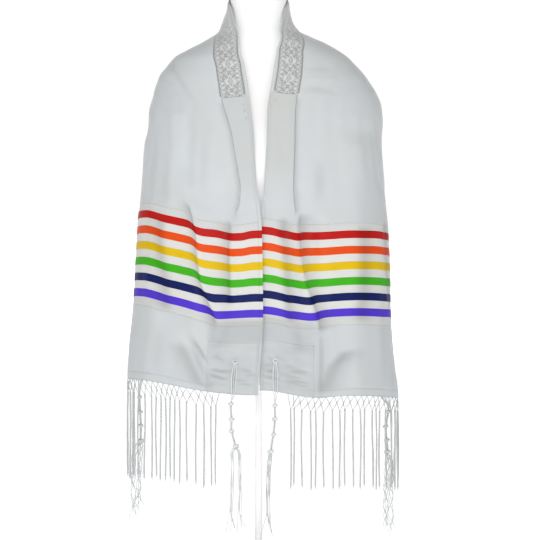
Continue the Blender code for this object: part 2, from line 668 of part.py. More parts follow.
def make_form(material):
    """The torso with its straight neck, one closed body."""
    angles = np.linspace(0, 2 * math.pi, FORM_SIDES, endpoint=False)
    rings = [on_section(FORM, row.height, angles) for row in FORM]
    points = np.concatenate(rings)
    faces = []
    for i in range(len(rings) - 1):
        for j in range(FORM_SIDES):
            low, low_next = i * FORM_SIDES + j, i * FORM_SIDES + (j + 1) % FORM_SIDES
            faces.append((low, low_next, low_next + FORM_SIDES, low + FORM_SIDES))
    top = (len(rings) - 1) * FORM_SIDES
    faces.append(tuple(range(FORM_SIDES))[::-1])
    faces.append(tuple(range(top, top + FORM_SIDES)))
    mesh = bpy.data.meshes.new("form_torso")
    mesh.from_pydata([tuple(point) for point in points], [], faces)
    mesh.shade_smooth()
    mesh.set_sharp_from_angle(angle=math.radians(40))
    place("form_torso", mesh, material)


def disc(name, radius, bottom, top, edge, material):
    """An upright round piece whose two rims are eased by edge."""
    bpy.ops.mesh.primitive_cylinder_add(vertices=ROUND_SIDES, radius=radius, depth=top - bottom,
                                        location=(0, 0, (bottom + top) / 2))
    piece = bpy.context.active_object
    piece.name = name
    piece.data.name = name
    piece.data.materials.append(material)
    piece.data.shade_smooth()
    piece.data.set_sharp_from_angle(angle=math.radians(40))
    if edge:
        ease = piece.modifiers.new("edge", "BEVEL")
        ease.width = edge
        ease.segments = 2
        ease.limit_method = "ANGLE"


def make_stand(material):
    disc("form_base", BASE_RADIUS, 0.0, BASE_THICKNESS, BASE_EDGE, material)
    disc("form_pole", POLE_RADIUS, BASE_THICKNESS + SEAM_GAP, FORM[0].height - SEAM_GAP, 0.0,
         material)


def main():
    for old in list(bpy.data.objects):
        bpy.data.objects.remove(old, do_unlink=True)
    wool = finish("wool", WOOL, 0.85)
    inset_cloth = finish("inset_cloth", INSET_WOOL, 0.8)
    drape_grid = drape()
    make_body(drape_grid, wool, finish("brocade", BROCADE, 0.5))
    for side in (LEFT, RIGHT):
        make_inset(drape_grid, side, inset_cloth)
        make_end_panel(drape_grid, side, wool)
        make_fringe(drape_grid, side, wool)
    for row in TZITZIT:
        make_tzitzit(drape_grid, row, wool)
    make_form(finish("form_shell", FORM_WHITE, 0.45))
    make_stand(finish("stand_paint", FORM_WHITE, 0.40))


main()
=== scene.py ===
"""Tallit prayer shawl on a dress form: the finished cloth, trim, fringe and tassels over the part.

Metres, +Z up, the front faces -Y.  A place on the shawl has two cloth coordinates: "along", from 0 at
the nape to the hems, negative on the side named left, and "across", from 0 at the inner edge to the
outer edge.  The drape lays that rectangle over the form, and every sewn piece is a layer of it.
"""

import math
from functools import lru_cache

import bpy
import numpy as np
from bpy.props import FloatProperty, FloatVectorProperty, IntProperty, PointerProperty
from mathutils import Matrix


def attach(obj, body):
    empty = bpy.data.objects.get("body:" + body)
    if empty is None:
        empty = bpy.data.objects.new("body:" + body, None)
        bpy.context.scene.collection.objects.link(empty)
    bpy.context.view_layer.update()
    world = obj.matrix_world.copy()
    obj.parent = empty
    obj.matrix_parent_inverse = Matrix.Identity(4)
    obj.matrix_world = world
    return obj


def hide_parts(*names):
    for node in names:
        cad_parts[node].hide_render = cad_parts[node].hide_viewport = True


bl_info = {
    "name": "Tallit on a dress form",
    "version": (1, 0, 0),
    "blender": (4, 5, 0),
    "location": "3D View > Sidebar > Tallit",
    "description": "Lays, sews and finishes a prayer shawl on its dress form",
    "category": "Object",
}

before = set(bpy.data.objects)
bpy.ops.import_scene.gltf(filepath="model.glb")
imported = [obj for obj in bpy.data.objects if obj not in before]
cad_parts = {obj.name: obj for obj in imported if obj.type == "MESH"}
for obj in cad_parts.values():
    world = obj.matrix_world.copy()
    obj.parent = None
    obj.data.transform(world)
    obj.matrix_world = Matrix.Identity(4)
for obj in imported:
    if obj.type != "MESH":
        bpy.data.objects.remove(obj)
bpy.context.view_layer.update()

LEFT, RIGHT = -1, 1
SIDES = {LEFT: "left", RIGHT: "right"}
# Which column of a table is this side's.
COLUMN = {LEFT: 1, RIGHT: 2}

# The cut, along the cloth and across it.
HALF_LENGTH, WIDTH = 0.915, 0.46
INSET_START, INSET_END = 0.561, 0.773
SEAM = 0.00015
HEM_TURN, ROLLED_EDGE = 0.015, 0.0068
FRINGE_REACH = 0.198
COLOURS = ("red", "orange", "yellow", "green", "navy", "violet")
FIRST_RIBBON, RIBBON_PITCH, RIBBON_WIDTH = 0.577, 0.0327, 0.0162
RIBBON_ROWS = (0, 0.05, 0.11, 0.30, 0.50, 0.70, 0.89, 0.95, 1.0)
ATARA_END, ATARA_INNER, ATARA_OUTER = 0.302, 0.008, 0.060
PLEAT_INNER, PLEAT_END = 0.0022, 0.540
SQUARE_SIZE, SQUARE_MARGIN = 0.105, 0.002
SQUARE_TOP = HALF_LENGTH - SQUARE_MARGIN - SQUARE_SIZE
ROW_STEP = 0.0035
# Heights above the cloth's face: the underside of what is sewn on, its face at the rim, and the cords.
RIBBON_FOOT, SQUARE_FOOT, SEWN_ON = 0.0001, 0.0002, 0.0003
RIM = 0.0004
CORD_LIFT = 0.0042
# Stitches: their size, how far in from an edge they run, and how high above the cloth's face.
STITCH_PITCH, STITCH_LENGTH, STITCH_WIDTH, STITCH_HEIGHT = 0.0042, 0.0026, 0.0006, 0.0005
EDGE_STITCHES, SQUARE_STITCHES, BAND_STITCHES = 0.0062, 0.0035, 0.0014
ON_CLOTH, ON_OUTER_EDGE, ON_SQUARE, ON_INNER_EDGE, ON_BAND = 0.0001, 0.0002, 0.0008, 0.0011, 0.0017
# Yarn: a thread of the fringe's net, a stray hair, a tassel's knots, and its winding's radius, pitch
# and thickness in radii of the cord.
NET_THREAD, HAIR = 0.00052, 0.00034
KNOT_SIZES = (0.0116, 0.0126, 0.0122, 0.0140)
WINDING = (2.2, 3.2, 1.35)
# The strands that make a tassel's eyelet: how far apart and how far behind the cord each one bows.
EYELET_STRANDS = ((-0.0052, 0.0018), (-0.0042, 0.0004), (0.0042, 0.0004), (0.0052, 0.0018))
CORD_STEP = 0.0035

# The drape's sections: height, reach to the left, right, front and back, squareness.
DRAPE = (
    (0.100, 0.2720, 0.2900, 0.134, 0.098, 2.30), (0.345, 0.2720, 0.2893, 0.134, 0.098, 2.30),
    (0.384, 0.2705, 0.2840, 0.134, 0.098, 2.30), (0.433, 0.2675, 0.2785, 0.134, 0.099, 2.30),
    (0.507, 0.2600, 0.2737, 0.134, 0.102, 2.30), (0.605, 0.2530, 0.2720, 0.133, 0.108, 2.30),
    (0.680, 0.2490, 0.2678, 0.132, 0.114, 2.30), (0.728, 0.2450, 0.2625, 0.131, 0.117, 2.30),
    (0.790, 0.2395, 0.2585, 0.129, 0.120, 2.30), (0.850, 0.2368, 0.2578, 0.125, 0.121, 2.30),
    (0.900, 0.2305, 0.2568, 0.119, 0.119, 2.28), (0.925, 0.2260, 0.2525, 0.115, 0.117, 2.25),
    (0.950, 0.2190, 0.2440, 0.110, 0.114, 2.22), (0.972, 0.2120, 0.2320, 0.105, 0.111, 2.20),
    (0.993, 0.2035, 0.2200, 0.100, 0.107, 2.18), (1.013, 0.1890, 0.2025, 0.095, 0.103, 2.15),
    (1.032, 0.1740, 0.1845, 0.089, 0.097, 2.12), (1.047, 0.1460, 0.1626, 0.084, 0.092, 2.10),
    (1.062, 0.1180, 0.1352, 0.079, 0.086, 2.05), (1.074, 0.0960, 0.1075, 0.076, 0.082, 2.00),
    (1.085, 0.0810, 0.0840, 0.073, 0.077, 2.00), (1.097, 0.0755, 0.0725, 0.070, 0.072, 2.00),
    (1.109, 0.0705, 0.0670, 0.067, 0.068, 2.00), (1.134, 0.0630, 0.0620, 0.063, 0.0628, 2.00),
    (1.165, 0.0608, 0.0608, 0.061, 0.0608, 2.00),
)
# The form's sections, in the same columns, and how many sides its shell has round.
FORM_SIDES = 36
FORM = (
    (0.3570, 0.1500, 0.1500, 0.080, 0.072, 2.30), (0.3650, 0.1600, 0.1600, 0.088, 0.080, 2.30),
    (0.4000, 0.1660, 0.1660, 0.094, 0.084, 2.25), (0.4600, 0.1640, 0.1640, 0.094, 0.086, 2.20),
    (0.5500, 0.1520, 0.1520, 0.090, 0.080, 2.20), (0.6400, 0.1460, 0.1460, 0.088, 0.078, 2.20),
    (0.7200, 0.1540, 0.1540, 0.096, 0.086, 2.20), (0.8000, 0.1700, 0.1700, 0.108, 0.098, 2.25),
    (0.8800, 0.1830, 0.1860, 0.106, 0.106, 2.28), (0.9300, 0.1930, 0.2010, 0.098, 0.106, 2.25),
    (0.9720, 0.1960, 0.2080, 0.091, 0.102, 2.20), (1.0000, 0.1870, 0.2030, 0.086, 0.098, 2.15),
    (1.0200, 0.1723, 0.1885, 0.081, 0.094, 2.12), (1.0400, 0.1469, 0.1636, 0.076, 0.088, 2.10),
    (1.0560, 0.1178, 0.1370, 0.071, 0.083, 2.05), (1.0700, 0.0910, 0.1040, 0.068, 0.077, 2.00),
    (1.0820, 0.0730, 0.0765, 0.065, 0.071, 2.00), (1.0960, 0.0640, 0.0640, 0.062, 0.065, 2.00),
    (1.1150, 0.0595, 0.0600, 0.0595, 0.0598, 2.00), (1.1350, 0.0585, 0.0585, 0.0585, 0.0585, 2.00),
    (1.1750, 0.0585, 0.0585, 0.0585, 0.0585, 2.00),
)
# The inner edge round the neck: along, height, degrees round from the front.
NECK_EDGE = ((0.0, 1.1580, 180.0), (0.045, 1.1560, 136.0), (0.090, 1.1495, 92.0),
             (0.122, 1.1330, 63.0))
# The inner edges down the front: height, reach to the right of the middle.
FRONT_EDGE = {
    LEFT: ((1.1055, -0.0500), (1.0540, -0.0380), (1.0130, -0.0287), (0.9620, -0.0201),
           (0.8760, -0.0100), (0.7630, -0.0029), (0.7160, 0.0037), (0.6830, 0.0062),
           (0.4990, 0.0090), (0.4500, 0.0072), (0.3370, -0.0002), (0.1300, -0.0002)),
    RIGHT: ((1.1055, 0.0488), (1.0440, 0.0369), (0.9620, 0.0238), (0.9210, 0.0182),
            (0.8490, 0.0156), (0.7610, 0.0101), (0.7200, 0.0064), (0.6800, 0.0020),
            (0.4990, 0.0040), (0.4500, 0.0030), (0.3440, 0.0023), (0.1300, 0.0023)),
}
HEM_HEIGHT = {LEFT: 0.3368, RIGHT: 0.3440}
# The outer edge: along, drop, degrees round from the front, how much sooner round, how much later down.
OUTER_EDGE = (
    (0.000, 0.458, 180.0, 3.4, 1.00), (0.050, 0.453, 169.8, 3.4, 1.00), (0.095, 0.433, 161.3, 3.6, 1.00),
    (0.122, 0.409, 157.0, 3.8, 1.05), (0.146, 0.377, 153.5, 3.6, 1.15), (0.190, 0.309, 148.0, 2.5, 1.35),
    (0.250, 0.219, 141.0, 1.5, 1.45), (0.300, 0.152, 137.5, 1.1, 1.50), (0.360, 0.112, 138.5, 1.0, 1.55),
    (0.420, 0.093, 142.0, 1.0, 1.60), (0.500, 0.069, 147.0, 1.0, 1.60), (0.577, 0.050, 149.5, 1.0, 1.60),
    (0.757, 0.026, 147.0, 1.0, 1.50), (0.915, 0.004, 143.0, 1.0, 1.40), (1.130, 0.004, 143.0, 1.0, 1.40),
)
# How far each line across a hanging end is pulled up: across, then the left and the right end, each at
# the first ribbon, the last ribbon and the hem; where those are along; and how much of it acts where.
SIDE_PULL = (
    (0.000, -0.0005, 0.0005, -0.0005, 0.0010, 0.0010, 0.0020),
    (0.020, -0.0012, 0.0005, -0.0006, -0.0006, -0.0007, 0.0012),
    (0.040, -0.0050, -0.0002, 0.0001, -0.0048, -0.0042, -0.0023),
    (0.065, -0.0046, -0.0010, 0.0026, -0.0105, -0.0101, -0.0072),
    (0.090, 0.0019, 0.0002, 0.0053, -0.0118, -0.0115, -0.0116),
    (0.115, 0.0075, 0.0088, 0.0086, -0.0093, -0.0092, -0.0133),
    (0.145, 0.0215, 0.0209, 0.0139, -0.0053, -0.0038, -0.0105),
    (0.170, 0.0314, 0.0290, 0.0190, -0.0020, -0.0006, -0.0089),
    (0.195, 0.0395, 0.0357, 0.0237, 0.0000, 0.0011, -0.0088),
    (0.250, 0.0558, 0.0514, 0.0315, 0.0048, 0.0026, -0.0107),
    (0.300, 0.0595, 0.0558, 0.0337, 0.0063, 0.0048, -0.0128),
    (0.380, 0.0560, 0.0530, 0.0320, 0.0055, 0.0040, -0.0100),
    (0.460, 0.0500, 0.0480, 0.0290, 0.0060, 0.0045, -0.0080),
)
PULL_PLACES = (0.585, 0.749, 0.915)
PULL_SHARE = ((0.0, 0.0), (0.250, 0.0), (0.420, 0.57), (0.560, 1.0), (0.915, 1.0), (1.130, 0.70))
# The neckband's outer edge, before the cloth beside it is eased out to EASE_REACH, and the width of
# the pressed fold below it: along, left, right.
EASE_REACH = 0.160
ATARA_EDGE = ((0.0, 0.0600, 0.0600), (0.115, 0.0560, 0.0540), (0.150, 0.0525, 0.0495),
              (0.187, 0.0530, 0.0490), (0.222, 0.0570, 0.0535), (0.262, 0.0630, 0.0600),
              (0.302, 0.0670, 0.0625), (0.370, 0.0600, 0.0600))
PLEAT_WIDTH = ((0.305, 0.0575, 0.0575), (0.350, 0.0530, 0.0600), (0.400, 0.0460, 0.0610),
               (0.450, 0.0385, 0.0605), (0.485, 0.0345, 0.0610), (0.515, 0.0400, 0.0645),
               (0.540, 0.0520, 0.0690))
# Folds: from along, across, to along, across, half width, height.
FOLDS = {
    LEFT: (
        (0.520, 0.000, 1.130, 0.000, 0.030, 0.0030), (0.235, 0.158, 0.310, 0.128, 0.016, -0.0035),
        (0.330, 0.172, 0.540, 0.178, 0.026, 0.0055), (0.340, 0.122, 0.520, 0.122, 0.018, -0.0045),
        (0.500, 0.076, 0.800, 0.088, 0.022, -0.0055), (0.500, 0.142, 0.790, 0.136, 0.024, 0.0050),
        (0.815, 0.150, 0.892, 0.112, 0.015, -0.0045), (0.600, 0.225, 1.130, 0.235, 0.026, 0.0050),
        (0.045, 0.190, 0.048, 0.470, 0.034, 0.0070), (0.150, 0.260, 0.150, 0.470, 0.045, 0.0090),
        (0.300, 0.330, 0.340, 0.470, 0.060, -0.0060), (0.560, 0.345, 1.130, 0.350, 0.022, -0.0070),
        (0.600, 0.410, 1.130, 0.405, 0.022, 0.0060),
    ),
    RIGHT: (
        (0.500, 0.000, 1.130, 0.000, 0.026, -0.0040), (0.360, 0.250, 0.470, 0.262, 0.016, -0.0035),
        (0.500, 0.076, 0.800, 0.084, 0.018, -0.0055), (0.560, 0.118, 1.130, 0.128, 0.014, -0.0040),
        (0.400, 0.190, 1.130, 0.198, 0.028, 0.0060), (0.840, 0.172, 0.908, 0.132, 0.013, -0.0045),
        (0.080, 0.200, 0.085, 0.470, 0.038, 0.0080), (0.200, 0.280, 0.210, 0.470, 0.050, 0.0080),
        (0.350, 0.350, 0.390, 0.470, 0.060, -0.0060), (0.540, 0.355, 1.130, 0.350, 0.024, -0.0080),
        (0.640, 0.415, 1.130, 0.420, 0.020, 0.0060),
    ),
}
# Valleys that run down the cloth, each crisp toward the inner edge and soft toward the outer one:
# soft reach, crisp reach, depth, painted shade (how dark the cloth's colour is made beside it), how
# far the cloth beside it is tucked up, and the line as along, across.
# Each fades in and out over the taper.  A pressed fold's edge is one more, with its own taper.
VALLEY_TAPER, PRESSED_TAPER = 0.020, 0.012
PRESSED_EDGE, PRESSED_OFFSET = (0.0065, 0.0015, 0.0006, 0.55, 0.0), 0.0012
VALLEYS = {
    LEFT: (
        (0.015, 0.0028, 0.0050, 0.90, 0.0032,
         ((0.530, 0.147), (0.556, 0.142), (0.578, 0.136), (0.607, 0.132), (0.654, 0.130), (0.694, 0.124),
          (0.724, 0.112), (0.750, 0.099), (0.785, 0.090))),
        (0.020, 0.0140, 0.0042, 0.80, 0.0008,
         ((0.575, 0.214), (0.634, 0.213), (0.669, 0.210), (0.701, 0.203), (0.754, 0.202), (0.778, 0.201))),
        (0.016, 0.0026, 0.0044, 0.85, 0.0012,
         ((0.545, 0.062), (0.570, 0.063), (0.613, 0.066), (0.687, 0.066), (0.735, 0.066))),
        (0.022, 0.0130, 0.0036, 0.70, 0.0000,
         ((0.822, 0.168), (0.841, 0.158), (0.859, 0.147), (0.876, 0.136), (0.894, 0.125), (0.911, 0.110))),
        (0.010, 0.0030, 0.0026, 0.80, 0.0000,
         ((0.808, 0.137), (0.820, 0.131), (0.831, 0.121), (0.852, 0.106), (0.860, 0.102))),
    ),
    RIGHT: (
        (0.014, 0.0100, 0.0040, 0.85, 0.0012,
         ((0.545, 0.045), (0.571, 0.047), (0.617, 0.051), (0.687, 0.055), (0.743, 0.058), (0.775, 0.060))),
        (0.018, 0.0024, 0.0048, 0.90, 0.0022,
         ((0.530, 0.077), (0.554, 0.077), (0.603, 0.080), (0.638, 0.084), (0.683, 0.092), (0.746, 0.114),
          (0.761, 0.118), (0.775, 0.119), (0.790, 0.120))),
        (0.014, 0.0030, 0.0030, 0.30, 0.0, ((0.780, 0.120), (0.820, 0.122), (0.905, 0.121))),
        (0.022, 0.0160, 0.0032, 0.75, 0.0000,
         ((0.560, 0.204), (0.585, 0.206), (0.645, 0.206), (0.701, 0.206), (0.750, 0.202), (0.772, 0.201))),
        (0.022, 0.0180, 0.0036, 0.80, 0.0000,
         ((0.815, 0.190), (0.834, 0.173), (0.855, 0.146), (0.890, 0.131), (0.912, 0.126))),
        (0.016, 0.0100, 0.0024, 0.80, 0.0006,
         ((0.545, 0.272), (0.571, 0.268), (0.638, 0.270), (0.701, 0.280), (0.746, 0.292))),
    ),
}
# Creases, in the folds' columns.  A sunk crease also gets painted shade: one this deep is painted in full,
# and one wider than a fine one less.
DEEP_CREASE, FINE_CREASE = 0.0018, 0.0041
CREASES = {
    LEFT: (
        (0.180, 0.150, 0.295, 0.135, 0.007, -0.0014), (0.205, 0.185, 0.300, 0.175, 0.012, 0.0012),
        (0.280, 0.180, 0.535, 0.185, 0.011, 0.0014), (0.305, 0.135, 0.525, 0.140, 0.009, -0.0012),
        (0.330, 0.230, 0.545, 0.240, 0.010, -0.0010), (0.535, 0.150, 0.645, 0.130, 0.006, 0.0014),
        (0.645, 0.130, 0.745, 0.115, 0.006, 0.0012), (0.500, 0.045, 0.575, 0.058, 0.007, -0.0012),
        (0.545, 0.075, 0.780, 0.075, 0.009, -0.0012), (0.560, 0.200, 0.760, 0.205, 0.012, 0.0010),
        (0.825, 0.145, 0.895, 0.105, 0.009, -0.0018), (0.830, 0.130, 0.855, 0.110, 0.006, 0.0012),
        (0.836, 0.104, 0.815, 0.080, 0.006, 0.0012), (0.815, 0.080, 0.822, 0.048, 0.006, 0.0012),
        (0.842, 0.098, 0.826, 0.076, 0.006, -0.0010), (0.866, 0.098, 0.871, 0.062, 0.0024, -0.0017),
        (0.8725, 0.088, 0.8755, 0.050, 0.003, 0.0014), (0.880, 0.100, 0.885, 0.060, 0.0024, -0.0018),
        (0.887, 0.104, 0.890, 0.070, 0.003, 0.0012), (0.892, 0.045, 0.894, 0.010, 0.0024, -0.0011),
        (0.862, 0.040, 0.868, 0.012, 0.0035, -0.0010), (0.800, 0.205, 0.905, 0.215, 0.014, -0.0010),
        (0.240, 0.230, 0.330, 0.300, 0.014, -0.0012), (0.318, 0.013, 0.321, 0.017, 0.0024, -0.0010),
        (0.330, 0.011, 0.333, 0.017, 0.0026, -0.0012), (0.345, 0.010, 0.349, 0.016, 0.0026, -0.0011),
        (0.8650, 0.085, 0.8680, 0.046, 0.0022, -0.0010), (0.8765, 0.103, 0.8790, 0.074, 0.0022, -0.0009),
        (0.8840, 0.056, 0.8870, 0.020, 0.0022, -0.0010), (0.8940, 0.102, 0.8960, 0.060, 0.0024, -0.0009),
        (0.8350, 0.096, 0.8480, 0.072, 0.0026, -0.0009), (0.8760, 0.030, 0.8740, 0.008, 0.0022, -0.0009),
        (0.020, 0.250, 0.100, 0.420, 0.012, -0.0014), (0.110, 0.300, 0.135, 0.455, 0.010, 0.0014),
        (0.220, 0.330, 0.235, 0.455, 0.012, -0.0014), (0.400, 0.330, 0.560, 0.360, 0.010, 0.0013),
        (0.580, 0.300, 0.900, 0.310, 0.009, 0.0012), (0.620, 0.375, 0.905, 0.380, 0.008, -0.0012),
    ),
    RIGHT: (
        (0.315, 0.012, 0.319, 0.017, 0.0024, -0.0009), (0.245, 0.065, 0.235, 0.115, 0.006, -0.0009),
        (0.285, 0.070, 0.280, 0.135, 0.007, -0.0010), (0.265, 0.068, 0.258, 0.125, 0.008, 0.0007),
        (0.310, 0.250, 0.430, 0.280, 0.009, -0.0012), (0.330, 0.200, 0.450, 0.205, 0.014, 0.0012),
        (0.430, 0.120, 0.520, 0.110, 0.014, -0.0012), (0.540, 0.075, 0.785, 0.080, 0.008, -0.0012),
        (0.540, 0.110, 0.785, 0.110, 0.008, -0.0010), (0.565, 0.185, 0.880, 0.190, 0.012, 0.0012),
        (0.775, 0.125, 0.910, 0.125, 0.004, -0.0010), (0.826, 0.045, 0.843, 0.070, 0.007, 0.0012),
        (0.838, 0.030, 0.850, 0.060, 0.006, -0.0010), (0.772, 0.055, 0.790, 0.080, 0.006, -0.0009),
        (0.790, 0.082, 0.780, 0.118, 0.006, -0.0009), (0.866, 0.056, 0.863, 0.096, 0.0032, -0.0014),
        (0.872, 0.010, 0.875, 0.034, 0.0024, -0.0018), (0.879, 0.008, 0.882, 0.050, 0.003, 0.0014),
        (0.886, 0.008, 0.889, 0.042, 0.0024, -0.0018), (0.890, 0.044, 0.884, 0.092, 0.0026, -0.0014),
        (0.8935, 0.010, 0.896, 0.052, 0.003, 0.0012), (0.600, 0.255, 0.900, 0.262, 0.010, -0.0010),
        (0.8740, 0.038, 0.8790, 0.088, 0.0022, -0.0010), (0.8830, 0.054, 0.8850, 0.100, 0.0022, -0.0009),
        (0.8560, 0.044, 0.8580, 0.084, 0.0026, -0.0008), (0.8950, 0.050, 0.8920, 0.098, 0.0022, -0.0009),
        (0.8420, 0.012, 0.8500, 0.026, 0.0026, -0.0010), (0.8640, 0.008, 0.8600, 0.024, 0.0024, -0.0010),
        (0.050, 0.260, 0.130, 0.440, 0.013, -0.0014), (0.150, 0.300, 0.160, 0.455, 0.009, 0.0014),
        (0.280, 0.330, 0.300, 0.455, 0.012, -0.0013), (0.430, 0.320, 0.580, 0.350, 0.010, 0.0013),
        (0.590, 0.305, 0.900, 0.300, 0.009, -0.0012), (0.650, 0.380, 0.905, 0.385, 0.008, 0.0012),
    ),
}

# The tassels: side, hole above the hem and from the inner edge, the knots' places down the free part,
# the cord's route there as reach and height, and the routes of the other strands below the last knot.
TASSELS = {
    "left_inner": (LEFT, 0.068, 0.050, (0.318, 0.287, 0.264, 0.231),
                   ((-0.0568, 0.318), (-0.0551, 0.287), (-0.0551, 0.264), (-0.0463, 0.231),
                    (-0.0394, 0.218), (-0.0385, 0.187), (-0.0375, 0.138), (-0.0385, 0.095),
                    (-0.0335, 0.060)),
                   (((-0.0540, 0.218), (-0.0531, 0.187), (-0.0543, 0.138), (-0.0570, 0.086),
                     (-0.0565, 0.050)),)),
    "right_inner": (RIGHT, 0.064, 0.031, (0.316, 0.287, 0.257, 0.222),
                    ((0.0334, 0.316), (0.0338, 0.287), (0.0306, 0.257), (0.0254, 0.222),
                     (0.0210, 0.180), (0.0195, 0.120), (0.0195, 0.056)), ()),
    "left_outer": (LEFT, 0.068, WIDTH - 0.068, (0.330, 0.300, 0.271, 0.240),
                   ((-0.2470, 0.345), (-0.2455, 0.300), (-0.2440, 0.271), (-0.2450, 0.220),
                    (-0.2480, 0.160), (-0.2490, 0.100)),
                   (((-0.2570, 0.215), (-0.2600, 0.160), (-0.2575, 0.078)),)),
    "right_outer": (RIGHT, 0.068, WIDTH - 0.068, (0.300, 0.268, 0.242, 0.216),
                    ((0.2690, 0.310), (0.2635, 0.265), (0.2670, 0.216), (0.2640, 0.170),
                     (0.2634, 0.110), (0.2634, 0.056)),
                    (((0.2740, 0.190), (0.2740, 0.130), (0.2720, 0.048)),)),
}
# Where the fringe's bundles hang, across.
BUNDLES = {
    LEFT: (0.085, 0.095, 0.110, 0.125, 0.145, 0.160, 0.170, 0.180, 0.190, 0.200, 0.210, 0.220, 0.235,
           0.255, 0.270, 0.286, 0.304, 0.322, 0.340, 0.357),
    RIGHT: (0.060, 0.067, 0.082, 0.099, 0.109, 0.125, 0.142, 0.156, 0.166, 0.181, 0.196, 0.205, 0.223,
            0.232, 0.241, 0.257, 0.272, 0.288, 0.304, 0.322, 0.340, 0.357),
}


def smooth(at, xs, ys):
    """A curve through the points that never overshoots them (monotone cubic)."""
    order = np.argsort(xs)
    xs = np.asarray(xs, float)[order]
    ys = np.asarray(ys, float)[order]
    steps = np.diff(xs)
    slopes = np.diff(ys) / steps
    tangents = np.zeros(len(xs))
    tangents[0], tangents[-1] = slopes[0], slopes[-1]
    before = 2 * steps[1:] + steps[:-1]
    after = steps[1:] + 2 * steps[:-1]
    with np.errstate(divide="ignore", invalid="ignore"):
        mean = (before + after) / (before / slopes[:-1] + after / slopes[1:])
    tangents[1:-1] = np.where(slopes[:-1] * slopes[1:] > 0, mean, 0.0)
    at = np.clip(np.asarray(at, float), xs[0], xs[-1])
    cell = np.clip(np.searchsorted(xs, at, side="right") - 1, 0, len(steps) - 1)
    width = steps[cell]
    share = (at - xs[cell]) / width
    return ((1 + 2 * share) * (1 - share) ** 2 * ys[cell]
            + share * (1 - share) ** 2 * width * tangents[cell]
            + share**2 * (3 - 2 * share) * ys[cell + 1]
            + share**2 * (share - 1) * width * tangents[cell + 1])


def curve(table, k, at):
    """Column k of a table, read as a smooth curve over its first column."""
    return smooth(at, [row[0] for row in table], [row[k] for row in table])


def signed_power(value, power):
    """The power of a value's size, with the value's own sign."""
    return np.sign(value) * np.abs(value) ** power


def ovals(sections, heights, angles):
    """Points on rounded ovals at these heights, and at angles in radians round from the front."""
    sines, cosines = np.sin(angles), np.cos(angles)
    left, right, front, back, squareness = (curve(sections, k, heights) for k in range(1, 6))
    return np.stack([np.where(sines < 0, left, right) * signed_power(sines, 2 / squareness),
                     -np.where(cosines < 0, back, front) * signed_power(cosines, 2 / squareness),
                     heights * np.ones_like(sines)], axis=-1)


def inner_edge(side):
    """The rows of this side's inner edge: along, height, angle in radians."""
    rows = [(along, height, math.radians(angle)) for along, height, angle in NECK_EDGE]
    for height, x in FRONT_EDGE[side]:
        share = side * x / curve(DRAPE, COLUMN[side], height)
        angle = np.sign(share) * np.arcsin(np.abs(share) ** (curve(DRAPE, 5, height) / 2))
        rows.append((HALF_LENGTH - (height - HEM_HEIGHT[side]), height, float(angle)))
    return np.array(rows)


def distance_along(points):
    """How far each point of a line is from its start, along the line."""
    return np.concatenate([[0], np.cumsum(np.linalg.norm(np.diff(points, axis=0), axis=1))])


def side_pull(side, along, across):
    """How far the places on one line across the cloth stand above where it would hang."""
    first = 1 if side == LEFT else 4
    pull = sum(np.interp(along, PULL_PLACES, weights) * curve(SIDE_PULL, first + k, across)
               for k, weights in enumerate(np.eye(3)))
    return pull * curve(PULL_SHARE, 1, along)


def rib(side, along, edge):
    """Points of the drape on one line across the cloth, and how far along that line each one is."""
    height, angle = curve(edge, 1, along), curve(edge, 2, along)
    drop, last_angle, early, late = (curve(OUTER_EDGE, k, along) for k in range(1, 5))
    share = np.linspace(0, 1, 160)
    angles = angle + (math.radians(last_angle) - angle) * (1 - (1 - share) ** early)
    heights = height - drop * share**late
    across = across_of(ovals(DRAPE, heights, side * angles))
    heights = heights + side_pull(side, along, across) + tuck(side, along, across)
    points = ovals(DRAPE, heights, side * angles)
    band = curve(ATARA_EDGE, COLUMN[side], along)
    return points, np.interp(across_of(points), (0, band, EASE_REACH, WIDTH),
                             (0, ATARA_OUTER, EASE_REACH, WIDTH))


def across_of(points):
    """How far across the cloth each point of one line over its whole width is."""
    reached = distance_along(points)
    return reached * (WIDTH / reached[-1])


def fold_height(along, across):
    """How far the folds and creases lift the cloth at these places."""
    height = np.zeros(np.broadcast(along, across).shape)
    for side in SIDES:
        for row in FOLDS[side] + CREASES[side]:
            height += row[-1] * streak(side, along, across, row)
    return height


def streak(side, along, across, row, fading=False):
    """How near these places are to a fold's or a crease's own line: 1 on it, 0 well away."""
    a, b, to_a, to_b, half_width, _ = row
    start = np.array([side * a, b])
    run = np.array([side * to_a, to_b]) - start
    share = ((along - start[0]) * run[0] + (across - start[1]) * run[1]) / (run @ run)
    share = np.clip(share, 0, 1)
    away = np.hypot(along - start[0] - share * run[0], across - start[1] - share * run[1])
    ends = np.sin(np.pi * share) ** 0.8 if fading else 1.0
    return ends * np.exp(-((away / half_width) ** 2))


